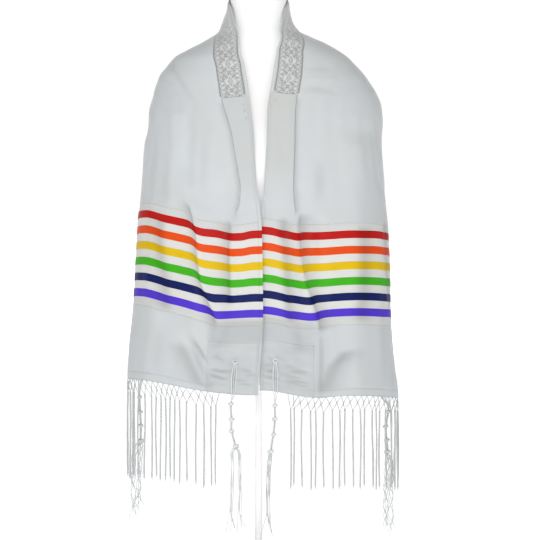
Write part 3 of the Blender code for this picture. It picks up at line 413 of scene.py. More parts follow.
def valley(along, across):
    """How deep the valleys are at these places, and how much painted shade darkens the cloth's colour
    there, 0 to 1.
    """
    far = np.abs(along)
    depth = np.zeros(np.broadcast(along, across).shape)
    shade = np.zeros_like(depth)
    for side in SIDES:
        # Painted shade along the sunk creases, fading toward their ends.
        for row in CREASES[side]:
            half_width, height = row[-2:]
            if height < 0:
                tone = min(1.0, -height / DEEP_CREASE) * (1.0 if half_width < FINE_CREASE else 0.38)
                shade = np.maximum(shade, tone * streak(side, along, across, row, fading=True))
        valleys = [(*row, VALLEY_TAPER) for row in VALLEYS[side]]
        pressed = [(row[0], row[COLUMN[side]] + PRESSED_OFFSET) for row in PLEAT_WIDTH]
        valleys.append((*PRESSED_EDGE, pressed, PRESSED_TAPER))
        # Painted shade beside each valley, with the same profile as its depth.
        for soft, crisp, deep, tone, _, line, taper in valleys:
            line = np.array(line)
            off = across - np.interp(far, line[:, 0], line[:, 1])
            shape = np.where(off > 0, np.exp(-(np.abs(off) / soft) ** 1.6), np.exp(-(off / crisp) ** 2))
            ends = np.clip((far - line[0, 0]) / taper, 0, 1) * np.clip((line[-1, 0] - far) / taper, 0, 1)
            shape = shape * ends * (3 - 2 * ends) * ends * (np.sign(along) == side)
            depth += deep * shape
            shade = np.maximum(shade, tone * shape)
    return depth, np.maximum(shade, painted_seam_shade(along, across))


def painted_seam_shade(along, across):
    """How much painted shade darkens the cloth above the inner squares, and along the seams, hems and
    rolled edges.
    """
    far = np.abs(along)
    # Painted shade on the cloth below the last ribbon, down to the top of the inner corner squares.
    above = np.clip((far - INSET_END + 0.016) / 0.008, 0, 1)
    above = above * np.clip((SQUARE_TOP + 0.0015 - far) / 0.003, 0, 1)
    shade = np.where(along < 0, 0.55, 0.42) * above * np.clip((0.112 - across) / 0.014, 0, 1)
    below_band = np.clip((far - ATARA_END) / 0.01, 0.1, 1)
    # Painted shade in thin lines along the hem's stitching, the hem's edge, the two inset seams and the
    # rolled edges.
    for line, tone in ((bump(far, HALF_LENGTH - HEM_TURN - 0.0006, 0.0012), 0.22),
                       (bump(far, HALF_LENGTH, 0.0018), 0.55),
                       (bump(far, INSET_START, 0.0012), 0.08),
                       (bump(far, INSET_END, 0.0012), 0.05),
                       (bump(across, ROLLED_EDGE, 0.0010) * below_band, 0.40),
                       (bump(across, WIDTH - ROLLED_EDGE, 0.0010), 0.40)):
        shade = np.maximum(shade, tone * line)
    return shade


def tuck(side, along, across):
    """How far the valleys' outer banks are drawn up, and their inner banks let down."""
    lift = np.zeros_like(across)
    for soft, _, _, _, amount, line in VALLEYS[side]:
        line = np.array(line)
        if amount and line[0, 0] < along < line[-1, 0]:
            ends = min(1.0, (along - line[0, 0]) / 0.03, (line[-1, 0] - along) / 0.03)
            off = across - np.interp(along, line[:, 0], line[:, 1])
            outer = np.clip(off / (0.7 * soft), 0, None)
            inner = np.clip(-off / (0.6 * soft), 0, None)
            lift += amount * ends * (outer * np.exp(1 - outer) - 0.7 * inner * np.exp(1 - inner))
    return lift


def bump(value, middle, half_width):
    """1 where value is at the middle, and falling softly to 0 on both sides."""
    return np.exp(-(((value - middle) / half_width) ** 2))


def sewn_relief(along, across):
    """The small relief of the rolled long edges, the seams and the turned hems, and loose ripples."""
    far = np.abs(along)
    relief = np.zeros(np.broadcast(along, across).shape)
    for near in (across, WIDTH - across):
        relief += 0.0005 * bump(near, 0.0028, 0.0024) - 0.0004 * bump(near, ROLLED_EDGE - 0.0002, 0.0012)
    below = far > HALF_LENGTH + 0.001
    relief = np.where(below, 0.0, relief)
    for seam in (INSET_START, INSET_END):
        relief -= 0.0003 * bump(far, seam, 0.0012)
    hem = HALF_LENGTH - HEM_TURN
    relief += np.where(below, 0.0, 0.0004 * np.clip((far - hem) / 0.002, 0, 1))
    relief -= 0.0005 * bump(far, hem - 0.0004, 0.0011)
    ripple = (np.sin(2 * np.pi * (far * 5.1 + across * 19.0) + 0.9 * np.sin(along * 23.0))
              + np.sin(2 * np.pi * (across * 27.0 - far * 3.3) + 1.3 * np.sin(along * 17.0 + 1.0))
              + 0.6 * np.sin(2 * np.pi * (far * 21.0 + across * 9.0) + 2.0 * np.sin(across * 31.0)))
    return relief + 0.00022 * ripple * np.clip(far / 0.12, 0, 1)


def unit(vectors):
    """The same directions at length 1."""
    return vectors / np.linalg.norm(vectors, axis=-1, keepdims=True)


def normals_of(points):
    """Which way a grid of points faces."""
    return unit(np.cross(np.gradient(points, axis=0), np.gradient(points, axis=1)))


def cloth_columns():
    """Places across the cloth, closer together at the two rolled edges."""
    edge = np.array([0.0, 0.0014, 0.0028, 0.0042, 0.0056, ROLLED_EDGE, 0.0082, 0.0105])
    return np.concatenate([edge, np.linspace(0.0140, WIDTH - 0.0140, 118), WIDTH - edge[::-1]])


def cloth_rows(start, end, step):
    """Places along one side, closer together at seams and at the hem."""
    marks = [start, end]
    for seam in (INSET_START, INSET_END, HALF_LENGTH - HEM_TURN - 0.0004):
        marks += [seam + offset for offset in (-0.0022, -0.0012, -0.0005, 0.0005, 0.0012, 0.0024)]
    marks += list(np.linspace(start, end, max(2, round((end - start) / step)) + 1))
    marks = np.unique(np.round([mark for mark in marks if start <= mark <= end], 6))
    keep = [marks[0]]
    for mark in marks[1:]:
        if mark - keep[-1] > 0.0004:
            keep.append(mark)
    keep[-1] = end
    return np.array(keep)


@lru_cache(maxsize=1)
def drape():
    """The whole shawl as a fine grid: places along and across, points and normals."""
    half = cloth_rows(0.0, HALF_LENGTH + FRINGE_REACH + 0.012, ROW_STEP)
    alongs = np.concatenate([-half[:0:-1], half])
    acrosses = cloth_columns()
    edges = {side: inner_edge(side) for side in SIDES}
    rows = []
    for along in alongs:
        side = LEFT if along < 0 else RIGHT
        points, across = rib(side, abs(along), edges[side])
        rows.append(np.stack([np.interp(acrosses, across, points[:, k]) for k in range(3)], axis=1))
    points = np.array(rows)
    here = alongs[:, None], acrosses[None, :]
    points = points + normals_of(points) * (fold_height(*here) - valley(*here)[0])[..., None]
    points = points + normals_of(points) * sewn_relief(*here)[..., None]
    return alongs, acrosses, points, normals_of(points)


def on_cloth(along, across, lift=0.0):
    """Points of the cloth's face at these places, moved out by lift."""
    alongs, acrosses, points, normals = drape()
    along, across, lift = np.broadcast_arrays(along, across, lift)
    row = np.clip(np.searchsorted(alongs, along) - 1, 0, len(alongs) - 2)
    col = np.clip(np.searchsorted(acrosses, across) - 1, 0, len(acrosses) - 2)
    u = ((along - alongs[row]) / (alongs[row + 1] - alongs[row]))[..., None]
    v = ((across - acrosses[col]) / (acrosses[col + 1] - acrosses[col]))[..., None]
    found = []
    for grid in (points, normals):
        near = grid[row, col] * (1 - v) + grid[row, col + 1] * v
        far = grid[row + 1, col] * (1 - v) + grid[row + 1, col + 1] * v
        found.append(near * (1 - u) + far * u)
    return found[0] + found[1] * lift[..., None]


# ---- how a piece is made ------------------------------------------------------------------------

def place(name, mesh, finish, slot, *nodes):
    """A piece of the object: it rides with the part, and stands for the plain solids it covers."""
    mesh.materials.append(finish)
    piece = bpy.data.objects.new(name, mesh)
    bpy.context.scene.collection.objects.link(piece)
    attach(piece, "root")
    if nodes:
        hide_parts(*nodes)
    return piece


def layer(name, along, across, top, bottom, finish, slot, *nodes, motif=None, painted_rim_shade=0.0):
    """A closed layer of cloth over a grid of places, between two heights above the shawl's face."""
    patterned = motif is not None
    arrays = np.broadcast_arrays(along, across, top, bottom, motif if patterned else 0.0, painted_rim_shade)
    if arrays[0][0, 0] > arrays[0][-1, 0]:
        arrays = [array[::-1] for array in arrays]
    along, across, top, bottom, motif, painted_rim_shade = arrays
    rows, columns = along.shape
    count = rows * columns
    points = np.concatenate([on_cloth(along, across, lift).reshape(-1, 3) for lift in (top, bottom)])
    index = np.arange(count).reshape(rows, columns)
    face = np.stack([index[:-1, :-1], index[1:, :-1], index[1:, 1:], index[:-1, 1:]], -1).reshape(-1, 4)
    rim = np.concatenate([index[:-1, 0], index[-1, :-1], index[:0:-1, -1], index[0, :0:-1]])
    ahead = np.roll(rim, -1)
    side = np.stack([ahead, rim, rim + count, ahead + count], -1)
    mesh = bpy.data.meshes.new(name)
    mesh.from_pydata(points.tolist(), [], np.concatenate([face, face[:, ::-1] + count, side]).tolist())
    mesh.shade_smooth()
    mesh.set_sharp_from_angle(angle=math.radians(55))
    spread = np.tile(np.stack([along, across], -1).reshape(-1, 2), (2, 1))
    corner = np.empty(len(mesh.loops), int)
    mesh.loops.foreach_get("vertex_index", corner)
    mesh.uv_layers.new(name="cloth").data.foreach_set("uv", spread[corner].ravel())
    # The 'valley' attribute carries painted shade: how much the finishes darken the colour in valleys,
    # creases and seams, or along a painted dark rim.
    marks = {"valley": np.maximum(valley(along, across)[1], painted_rim_shade)}
    if patterned:
        marks["motif"] = motif
    for mark, values in marks.items():
        made = mesh.attributes.new(mark, "FLOAT", "POINT")
        made.data.foreach_set("value", np.tile(values.ravel(), 2))
    return place(name, mesh, finish, slot, *nodes)


def tube_faces(rings, sides, closed=False):
    """The faces between rings of points, and from the last ring to the first where it is closed."""
    index = np.arange(rings * sides).reshape(rings, sides)
    here = index if closed else index[:-1]
    there = np.roll(index, -1, axis=0)[:len(here)]
    faces = np.stack([here, np.roll(here, -1, axis=1), np.roll(there, -1, axis=1), there], -1)
    return faces.reshape(-1, 4).tolist()


class Yarns:
    """Gathers strands, knots and stitches into one piece."""

    def __init__(self):
        self.points, self.faces, self.count = [], [], 0

    def add(self, points, faces):
        self.points.append(points)
        self.faces += [tuple(corner + self.count for corner in face) for face in faces]
        self.count += len(points)

    def strand(self, route, radius, sides=6, closed=False):
        """A round strand along a route; radius is one number or one for each point."""
        route = np.asarray(route, float)
        ends = np.vstack([route[-1], route, route[0]]) if closed else route
        tangents = np.gradient(ends, axis=0)
        tangents = unit(tangents[1:-1] if closed else tangents)
        aside = np.cross(tangents[0], (0.31, 0.94, 0.12))
        frames = []
        for tangent in tangents:
            aside = unit(aside - tangent * (aside @ tangent))
            frames.append(aside)
        aside = np.array(frames)
        other = np.cross(tangents, aside)
        turn = np.linspace(0, 2 * np.pi, sides, endpoint=False)[:, None]
        rim = aside[:, None] * np.cos(turn) + other[:, None] * np.sin(turn)
        rings = route[:, None] + rim * np.broadcast_to(radius, len(route))[:, None, None]
        last = (len(route) - 1) * sides
        faces = tube_faces(len(route), sides, closed)
        if not closed:
            faces += [tuple(range(sides))[::-1], tuple(range(last, last + sides))]
        self.add(rings.reshape(-1, 3), faces)

    def knot(self, centre, size, turns=3, seed=0.0):
        """A small tight knot: a few crossed wraps of yarn round its heart."""
        turn = np.linspace(0, 2 * np.pi, 14, endpoint=False)[:, None]
        for k in range(turns):
            tilt, lean = seed + k * 1.9, 0.55 * math.cos(seed + k * 2.3)
            first = unit(np.array([math.cos(tilt), math.sin(tilt), lean * 0.6]))
            second = unit(np.cross(first, (0.2 * math.sin(seed + k), 0.3, 1.0)))
            ring = centre + 0.30 * size * (np.cos(turn) * first + np.sin(turn) * second)
            self.strand(ring, 0.22 * size, 6, closed=True)

    def stitch(self, middle, toward, out):
        """One short stitch lying on the cloth."""
        ahead, out = toward * STITCH_LENGTH / 2, out * STITCH_HEIGHT / 2
        side = np.cross(toward, out) * STITCH_WIDTH / STITCH_HEIGHT
        self.add(middle + np.array([-ahead, ahead, -side, side, -out, out]),
                 [(0, 2, 5), (2, 1, 5), (1, 3, 5), (3, 0, 5), (2, 0, 4), (1, 2, 4), (3, 1, 4), (0, 3, 4)])

    def piece(self, name, *nodes, kind="tassel"):
        mesh = bpy.data.meshes.new(name)
        mesh.from_pydata(np.concatenate(self.points).tolist(), [], self.faces)
        mesh.shade_smooth()
        return place(name, mesh, yarn_finish(kind), "wool", *nodes)


def smooth_route(points, spacing):
    """Evenly spaced points on a smooth curve through the route's own points (Catmull-Rom)."""
    points = np.asarray(points, float)
    ends = np.vstack([2 * points[0] - points[1], points, 2 * points[-1] - points[-2]])
    fine = []
    for k in range(len(points) - 1):
        a, b, c, d = ends[k:k + 4]
        for u in np.linspace(0, 1, 16, endpoint=False):
            fine.append(0.5 * (2 * b + (c - a) * u + (2 * a - 5 * b + 4 * c - d) * u**2
                               + (3 * b - a - 3 * c + d) * u**3))
    fine = np.array(fine + [points[-1]])
    reached = distance_along(fine)
    even = np.linspace(0, reached[-1], max(2, round(reached[-1] / spacing)) + 1)
    return np.stack([np.interp(even, reached, fine[:, k]) for k in range(3)], axis=1)


def twisted(route, radius, pitch, phase):
    """A route wound round another one at this radius."""
    tangents = unit(np.gradient(route, axis=0))
    aside = unit(np.cross(tangents, (0.0, 1.0, 0.05)))
    other = np.cross(tangents, aside)
    turn = 2 * np.pi * distance_along(route) / pitch + phase
    radius = np.broadcast_to(radius, len(route))[:, None]
    return route + radius * (aside * np.cos(turn)[:, None] + other * np.sin(turn)[:, None])


def sew(yarns, along, across, lift, pitch=STITCH_PITCH):
    """A line of stitches; along and across each hold where it starts and where it ends."""

    def at(share, up):
        return on_cloth(along[0] + (along[1] - along[0]) * share,
                        across[0] + (across[1] - across[0]) * share, up)

    length = distance_along(at(np.linspace(0, 1, 400), lift))[-1]
    count = max(2, int(length / pitch))
    share = (np.arange(count) + 0.5) / count
    step = 0.001 / length
    middle = at(share, lift)
    toward = unit(at(share + step, lift) - at(share - step, lift))
    out = unit(at(share, lift + 0.01) - middle)
    for stitch in zip(middle, toward, out):
        yarns.stitch(*stitch)


# ---- finishes -----------------------------------------------------------------------------------

class Finish:
    """A material under construction: its shader and the few nodes that feed it."""

    def __init__(self, name, colour, roughness, specular=0.5, sheen=(0.0, 0.5), **sockets):
        self.material = bpy.data.materials.new(name)
        self.material.use_nodes = True
        self.tree = self.material.node_tree
        self.shader = self.tree.nodes["Principled BSDF"]
        self.set(self.shader, {"Base Color": (*colour, 1.0), "Roughness": roughness,
                               "Specular IOR Level": specular, "Sheen Weight": sheen[0],
                               "Sheen Roughness": sheen[1], **sockets})
        self.colour = colour
        self.relief = None

    def set(self, node, sockets):
        for name, value in sockets.items():
            node.inputs[name].default_value = value

    def node(self, kind, links=None, sockets=None, **settings):
        made = self.tree.nodes.new(kind)
        for name, value in settings.items():
            setattr(made, name, value)
        self.set(made, sockets or {})
        for name, source in (links or {}).items():
            self.tree.links.new(source, made.inputs[name])
        return made

    def places(self, kind, scale, turn=0.0):
        """Texture places: "UV" in metres along and across the cloth, or "Object" in metres."""
        source = self.node("ShaderNodeTexCoord").outputs[kind]
        return self.node("ShaderNodeMapping", {"Vector": source},
                         {"Scale": scale, "Rotation": (0, 0, turn)}).outputs[0]

    def noise(self, along, across, detail=2.0, rough=0.5):
        """Clouds on the cloth, this many to the metre along it and across it."""
        return self.clouds(self.places("UV", (along, across, 1.0)), detail, rough)

    def grain(self, level, upright, detail=2.0, rough=0.5):
        """Clouds in space, this many to the metre level and upright."""
        return self.clouds(self.places("Object", (level, level, upright)), detail, rough)

    def clouds(self, places, detail, rough):
        return self.node("ShaderNodeTexNoise", {"Vector": places},
                         {"Scale": 1.0, "Detail": detail, "Roughness": rough}).outputs["Fac"]

    def threads(self, pitch, direction, turn=0.0, distortion=0.3):
        """Threads side by side on the cloth: direction X counts them along it, and Y across it."""
        return self.node("ShaderNodeTexWave", {"Vector": self.places("UV", (1, 1, 1), turn)},
                         {"Scale": 2 * math.pi / 20 / pitch, "Distortion": distortion, "Detail": 1.0,
                          "Detail Scale": 0.4}, bands_direction=direction).outputs["Fac"]

    def ramp(self, value, low, high, to_low, to_high):
        return self.node("ShaderNodeMapRange", {"Value": value},
                         {"From Min": low, "From Max": high, "To Min": to_low,
                          "To Max": to_high}).outputs[0]

    def tint(self, value, low, high, darker, lighter):
        """Vary the colour between two multiples of it as value goes from low to high."""
        mix = self.node("ShaderNodeMix", {"Factor": self.ramp(value, low, high, 0, 1)},
                        data_type="RGBA")
        colour = self.shader.inputs["Base Color"]
        source = colour.links[0].from_socket if colour.links else None
        for socket, share in ((6, darker), (7, lighter)):
            if source:
                scaled = self.node("ShaderNodeMix", {6: source}, {0: 1.0, 7: (*share, 1.0)},
                                   data_type="RGBA", blend_type="MULTIPLY")
                self.tree.links.new(scaled.outputs[2], mix.inputs[socket])
            else:
                mix.inputs[socket].default_value = (*(c * s for c, s in zip(self.colour, share)), 1.0)
        self.tree.links.new(mix.outputs[2], colour)

    def polish(self, value, low, high, smoother, rougher):
        self.tree.links.new(self.ramp(value, low, high, smoother, rougher),
                            self.shader.inputs["Roughness"])

    def attribute(self, name):
        return self.node("ShaderNodeAttribute", attribute_name=name).outputs["Fac"]

    def emboss(self, value, depth, strength):
        """Raise the surface by depth metres where value is 1."""
        under = {"Normal": self.relief} if self.relief else {}
        self.relief = self.node("ShaderNodeBump", {"Height": value, **under},
                                {"Distance": depth, "Strength": strength}).outputs[0]
        self.tree.links.new(self.relief, self.shader.inputs["Normal"])

    # Painted shade: darken the colour by the 'valley' attribute, as far as the cloth's valley shade setting
    # says.
    def paint_valley_shade(self):
        painted_valley_shade = bpy.context.scene.tallit_cloth.painted_valley_shade
        self.tint(self.attribute("valley"), 0.0, 1.0, grey(1.0), grey(painted_valley_shade))

    def weave(self, depth, strength, weft=1.0):
        """Raise the warp and the weft, whose threads are weft times as wide."""
        thread = bpy.context.scene.tallit_cloth.thread
        self.emboss(self.threads(thread, "X"), depth, strength)
        self.emboss(self.threads(thread * weft, "Y"), depth, strength)


def grey(value):
    """The same share of red, green and blue."""
    return (value, value, value)


@lru_cache(maxsize=None)
def wool_finish(kind="wool"):
    look = bpy.context.scene.tallit_cloth
    made = Finish(f"fine_{kind}", getattr(look, kind), 0.50, specular=0.40, sheen=(0.25, 0.40))
    slubs = made.noise(900.0, 26.0, 3.0, 0.6)
    cloudy = made.noise(7.0, 9.0)
    made.tint(slubs, 0.32, 0.68, grey(0.985), grey(1.012))
    made.tint(cloudy, 0.35, 0.65, (0.985, 0.985, 0.965), (1.0, 1.008, 1.022))
    if kind == "pressed":
        open_wool = tuple(wool / pressed for wool, pressed in zip(look.wool, look.pressed))
        made.tint(made.attribute("motif"), 0.0, 1.0, open_wool, grey(1.0))
    # Painted shade in the valleys, creases and seams.
    made.paint_valley_shade()
    made.polish(cloudy, 0.3, 0.7, 0.48, 0.56)
    made.weave(0.00005, 0.5)
    made.emboss(slubs, 0.00008, 0.35)
    return made.material


@lru_cache(maxsize=None)
def square_finish():
    made = Finish("corner_wool", bpy.context.scene.tallit_cloth.corner, 0.44, specular=0.45,
                  sheen=(0.35, 0.35))
    streaks = made.noise(34.0, 12.0)
    made.tint(streaks, 0.35, 0.68, (0.93, 0.94, 0.95), grey(1.05))
    # Painted shade in the valleys, creases and seams.
    made.paint_valley_shade()
    made.polish(streaks, 0.3, 0.7, 0.38, 0.50)
    made.weave(0.00005, 0.5)
    return made.material


@lru_cache(maxsize=None)
def inset_finish():
    made = Finish("inset_cloth", bpy.context.scene.tallit_cloth.inset, 0.6, specular=0.35,
                  sheen=(0.2, 0.5))
    slubs = made.noise(1100.0, 22.0, 3.0, 0.6)
    made.tint(slubs, 0.32, 0.68, grey(0.97), grey(1.02))
    made.tint(made.attribute("motif"), 0.0, 1.0, (0.87, 0.885, 0.90), grey(1.0))
    # Painted shade in the valleys, creases and seams.
    made.paint_valley_shade()
    made.polish(slubs, 0.3, 0.7, 0.56, 0.64)
    made.weave(0.00006, 0.6, 1.3)
    return made.material


@lru_cache(maxsize=None)
def satin_finish(colour):
    made = Finish(f"satin_{colour}", getattr(bpy.context.scene.tallit_ribbons, colour), 0.42,
                  specular=0.14, sheen=(0.01, 0.4), Anisotropic=0.5)
    floats = made.noise(2400.0, 40.0)
    made.tint(floats, 0.3, 0.7, grey(0.93), grey(1.06))
    # Painted shade in the valleys, creases and seams.
    made.paint_valley_shade()
    made.polish(floats, 0.3, 0.7, 0.38, 0.48)
    made.emboss(made.threads(0.00035, "X"), 0.00003, 0.4)
    return made.material


def brocade_finish():
    made = Finish("silver_brocade", bpy.context.scene.tallit_cloth.brocade, 0.42, sheen=(0.15, 0.5))
    raised = made.attribute("motif")
    cross = made.noise(1500.0, 420.0, 2.0, 0.6)
    specks = made.noise(430.0, 520.0, 1.0)
    made.tint(raised, 0.05, 0.90, (0.47, 0.475, 0.465), (1.0, 1.005, 1.01))
    made.tint(specks, 0.36, 0.60, grey(0.80), grey(1.06))
    made.tint(cross, 0.3, 0.7, grey(0.93), grey(1.06))
    made.polish(raised, 0.2, 0.8, 0.55, 0.34)
    made.emboss(made.threads(0.0009, "X", 0.5, 1.5), 0.00010, 0.6)
    made.emboss(cross, 0.00012, 0.5)
    return made.material


@lru_cache(maxsize=None)
def yarn_finish(kind):
    made = Finish(f"white_{kind}", getattr(bpy.context.scene.tallit_cloth, kind), 0.7, specular=0.3,
                  sheen=(0.2, 0.5))
    fibres = made.grain(900.0, 260.0, 3.0, 0.6)
    made.tint(fibres, 0.3, 0.7, grey(0.92), grey(1.04))
    made.polish(fibres, 0.3, 0.7, 0.62, 0.78)
    made.emboss(fibres, 0.0002, 0.6)
    return made.material


def shell_finish():
    made = Finish("form_white_shell", bpy.context.scene.tallit_form.shell, 0.42, specular=0.35)
    haze = made.grain(9.0, 9.0)
    made.tint(haze, 0.35, 0.65, grey(0.99), grey(1.005))
    made.polish(haze, 0.3, 0.7, 0.38, 0.46)
    made.emboss(made.grain(420.0, 420.0), 0.00006, 0.3)
    return made.material


def paint_finish():
    made = Finish("white_powder_coat", bpy.context.scene.tallit_form.paint, 0.38, specular=0.4)
    coat = made.grain(900.0, 900.0, rough=0.6)
    made.tint(coat, 0.3, 0.7, grey(0.985), grey(1.005))
    made.polish(coat, 0.3, 0.7, 0.33, 0.43)
    made.emboss(coat, 0.00008, 0.4)
    return made.material


def floor_finish():
    made = Finish("pale_floor", (0.86, 0.86, 0.86), 0.9,
                  **{"Emission Color": (1.0, 1.0, 1.0, 1.0), "Emission Strength": 0.8})
    made.tint(made.grain(40.0, 40.0, 3.0, 0.6), 0.3, 0.7, grey(0.985), grey(1.0))
    return made.material


# ---- what a user may change ---------------------------------------------------------------------

def shade(name, description, default):
    """A colour that a user may change."""
    return FloatVectorProperty(name=name, description=description, default=default, min=0.0, max=1.0,
                               size=3, subtype="COLOR")


def size(name, description, default, low, high):
    """A length that a user may change."""
    return FloatProperty(name=name, description=description, default=default, min=low, max=high,
                         unit="LENGTH", precision=5)


class ClothLook(bpy.types.PropertyGroup):
    wool: shade("Wool", "Colour of the fine wool", (0.508, 0.531, 0.547))
    inset: shade("Inset", "Colour of the cloth between the ribbons", (0.615, 0.618, 0.600))
    corner: shade("Corner squares", "Colour of the corner squares", (0.455, 0.476, 0.486))
    pressed: shade("Pressed folds", "Colour of the wool below the neckband", (0.468, 0.482, 0.486))
    brocade: shade("Brocade", "Colour of the neckband's raised threads", (0.560, 0.572, 0.575))
    yarn: shade("Fringe", "Colour of the fringe", (0.50, 0.515, 0.52))
    tassel: shade("Tassels", "Colour of the tassels and of the stitches", (0.66, 0.68, 0.69))
    # How dark the painted shade makes the cloth's colour in the valleys, creases, seams and hems.
    painted_valley_shade: FloatProperty(name="Hollow", description="How dark a valley is beside the open cloth",
                          default=0.66, min=0.5, max=1.0, subtype="FACTOR")
    thread: size("Thread", "Width of one woven thread", 0.0006, 0.0002, 0.002)
    thickness: size("Thickness", "Thickness of the wool", 0.0007, 0.0003, 0.0012)
    flower_repeat: size("Flower repeat", "Length of the neckband's pattern", 0.036, 0.02, 0.1)


class RibbonColours(bpy.types.PropertyGroup):
    red: shade("Red", "Colour of the red ribbon", (0.43, 0.005, 0.003))
    orange: shade("Orange", "Colour of the orange ribbon", (0.68, 0.064, 0.004))
    yellow: shade("Yellow", "Colour of the yellow ribbon", (0.65, 0.43, 0.002))
    green: shade("Green", "Colour of the green ribbon", (0.045, 0.38, 0.008))
    navy: shade("Navy", "Colour of the navy ribbon", (0.002, 0.008, 0.090))
    violet: shade("Violet", "Colour of the violet ribbon", (0.075, 0.032, 0.52))


class FringeSizes(bpy.types.PropertyGroup):
    ply: size("Ply", "Radius of one ply of a fringe bundle", 0.00118, 0.0003, 0.0015)
    pitch: size("Twist", "Length of one turn of a bundle", 0.009, 0.004, 0.02)
    net: size("Net", "Height of the knotted net", 0.029, 0.015, 0.05)
    reach: size("Reach", "Whole length of the fringe below the hem", 0.190, 0.1, 0.196)
    strand: size("Strand", "Radius of one strand of a tassel", 0.00078, 0.0004, 0.0012)
    strands: IntProperty(name="Strands", description="Strands in a tassel beside its cord",
                         default=8, min=4, max=8)


class FormLook(bpy.types.PropertyGroup):
    shell: shade("Shell", "Colour of the form's torso", (0.85, 0.85, 0.855))
    paint: shade("Paint", "Colour of the pole and the base", (0.95, 0.95, 0.95))


# ---- the stage ----------------------------------------------------------------------------------

CAMERA_PLACE, CAMERA_SENSOR, CAMERA_LENS = (0.0236, -18.11, 0.593), 36.0, 585.0
# The lamps: name, place, the height on the object's axis that each is aimed at, diameter, watts, colour.
LAMPS = (
    ("key", (-0.30, -5.4, 1.5), 0.7, 1.4, 74.0, (1.0, 0.997, 0.99)),
    ("side", (-3.6, -2.6, 1.6), 0.7, 1.5, 8.0, (0.99, 0.995, 1.0)),
    ("fill", (3.6, -2.6, 1.6), 0.7, 1.5, 4.0, (0.98, 0.99, 1.0)),
    ("top", (0.0, -2.2, 3.4), 0.9, 2.6, 47.0, (1.0, 0.965, 0.920)),
)
OPENING_LAMP, OPENING_LAMP_PLACE = "opening", (0.003, -5.5, 0.770)
OPENING_LAMP_WATTS, OPENING_LAMP_ANGLE, OPENING_LAMP_RADIUS = 400.0, 0.042, 0.05
# The sky's two tones, and from where to where it turns from the one to the other, front to back.
SKY_FRONT, SKY_BACK = (0.245, 0.249, 0.255, 1.0), (1.02, 1.02, 1.02, 1.0)
SKY_TURN = (0.45, 0.985)
FLOOR_RADIUS, FLOOR_WALL, FLOOR_SIDES, FLOOR_DROP = 40, 0.8, 96, 0.0002


class TALLIT_OT_stage(bpy.types.Operator):
    """Set the camera, the lights, the sky and the floor"""

    bl_idname = "tallit.stage"
    bl_label = "Stage"

    def execute(self, context):
        scene = context.scene
        seen = bpy.data.cameras.new("camera")
        seen.sensor_width = CAMERA_SENSOR
        seen.lens = CAMERA_LENS
        scene.camera = self.stand(seen, CAMERA_PLACE, (math.radians(90), 0, 0))
        scene.view_settings.view_transform = "Standard"
        for name, spot, aim, diameter, watts, tone in LAMPS:
            lamp = bpy.data.lights.new(name, "AREA")
            lamp.shape = "DISK"
            lamp.size = diameter
            lamp.energy = watts
            lamp.color = tone
            x, y, z = -spot[0], -spot[1], aim - spot[2]
            self.stand(lamp, spot, (math.atan2(math.hypot(x, y), -z), 0, math.atan2(-x, y)))
        self.opening_lamp()
        self.sky(scene)
        self.floor()
        return {"FINISHED"}

    def stand(self, data, place, turn):
        """Put a camera or a lamp in its place."""
        made = bpy.data.objects.new(data.name, data)
        made.location = place
        made.rotation_euler = turn
        bpy.context.scene.collection.objects.link(made)
        return made

    def opening_lamp(self):
        """A narrow lamp from straight ahead, for the form between the two front edges."""
        lamp = bpy.data.lights.new(OPENING_LAMP, "SPOT")
        lamp.energy = OPENING_LAMP_WATTS
        lamp.spot_size = OPENING_LAMP_ANGLE
        lamp.spot_blend = 1.0
        lamp.shadow_soft_size = OPENING_LAMP_RADIUS
        self.stand(lamp, OPENING_LAMP_PLACE, (math.radians(90), 0, 0))

    def sky(self, scene):
        """A pale sky, brighter behind the object than in front of it."""
        scene.world = bpy.data.worlds.new("studio")
        scene.world.use_nodes = True
        tree = scene.world.node_tree
        where = tree.nodes.new("ShaderNodeTexCoord")
        split = tree.nodes.new("ShaderNodeSeparateXYZ")
        share = tree.nodes.new("ShaderNodeMapRange")
        share.interpolation_type = "SMOOTHSTEP"
        share.inputs["From Min"].default_value, share.inputs["From Max"].default_value = SKY_TURN
        mix = tree.nodes.new("ShaderNodeMix")
        mix.data_type = "RGBA"
        mix.inputs[6].default_value = SKY_FRONT
        mix.inputs[7].default_value = SKY_BACK
        tree.links.new(where.outputs["Generated"], split.inputs[0])
        tree.links.new(split.outputs["Y"], share.inputs["Value"])
        tree.links.new(share.outputs[0], mix.inputs["Factor"])
        tree.links.new(mix.outputs[2], tree.nodes["Background"].inputs["Color"])

    def floor(self):
        """A wide round floor, whose far rim turns up so that a level view has the same pale ground."""
        mesh = bpy.data.meshes.new("floor")
        turn = np.linspace(0, 2 * np.pi, FLOOR_SIDES, endpoint=False)
        rim = np.stack([FLOOR_RADIUS * np.cos(turn), FLOOR_RADIUS * np.sin(turn),
                        np.full(FLOOR_SIDES, -FLOOR_DROP)], -1)
        mesh.from_pydata(rim.tolist() + (rim + (0, 0, FLOOR_WALL)).tolist(), [],
                         [list(range(FLOOR_SIDES))] + tube_faces(2, FLOOR_SIDES))
        mesh.materials.append(floor_finish())
        floor = bpy.data.objects.new("floor", mesh)
        bpy.context.scene.collection.objects.link(floor)


# ---- the object's pieces ------------------------------------------------------------------------

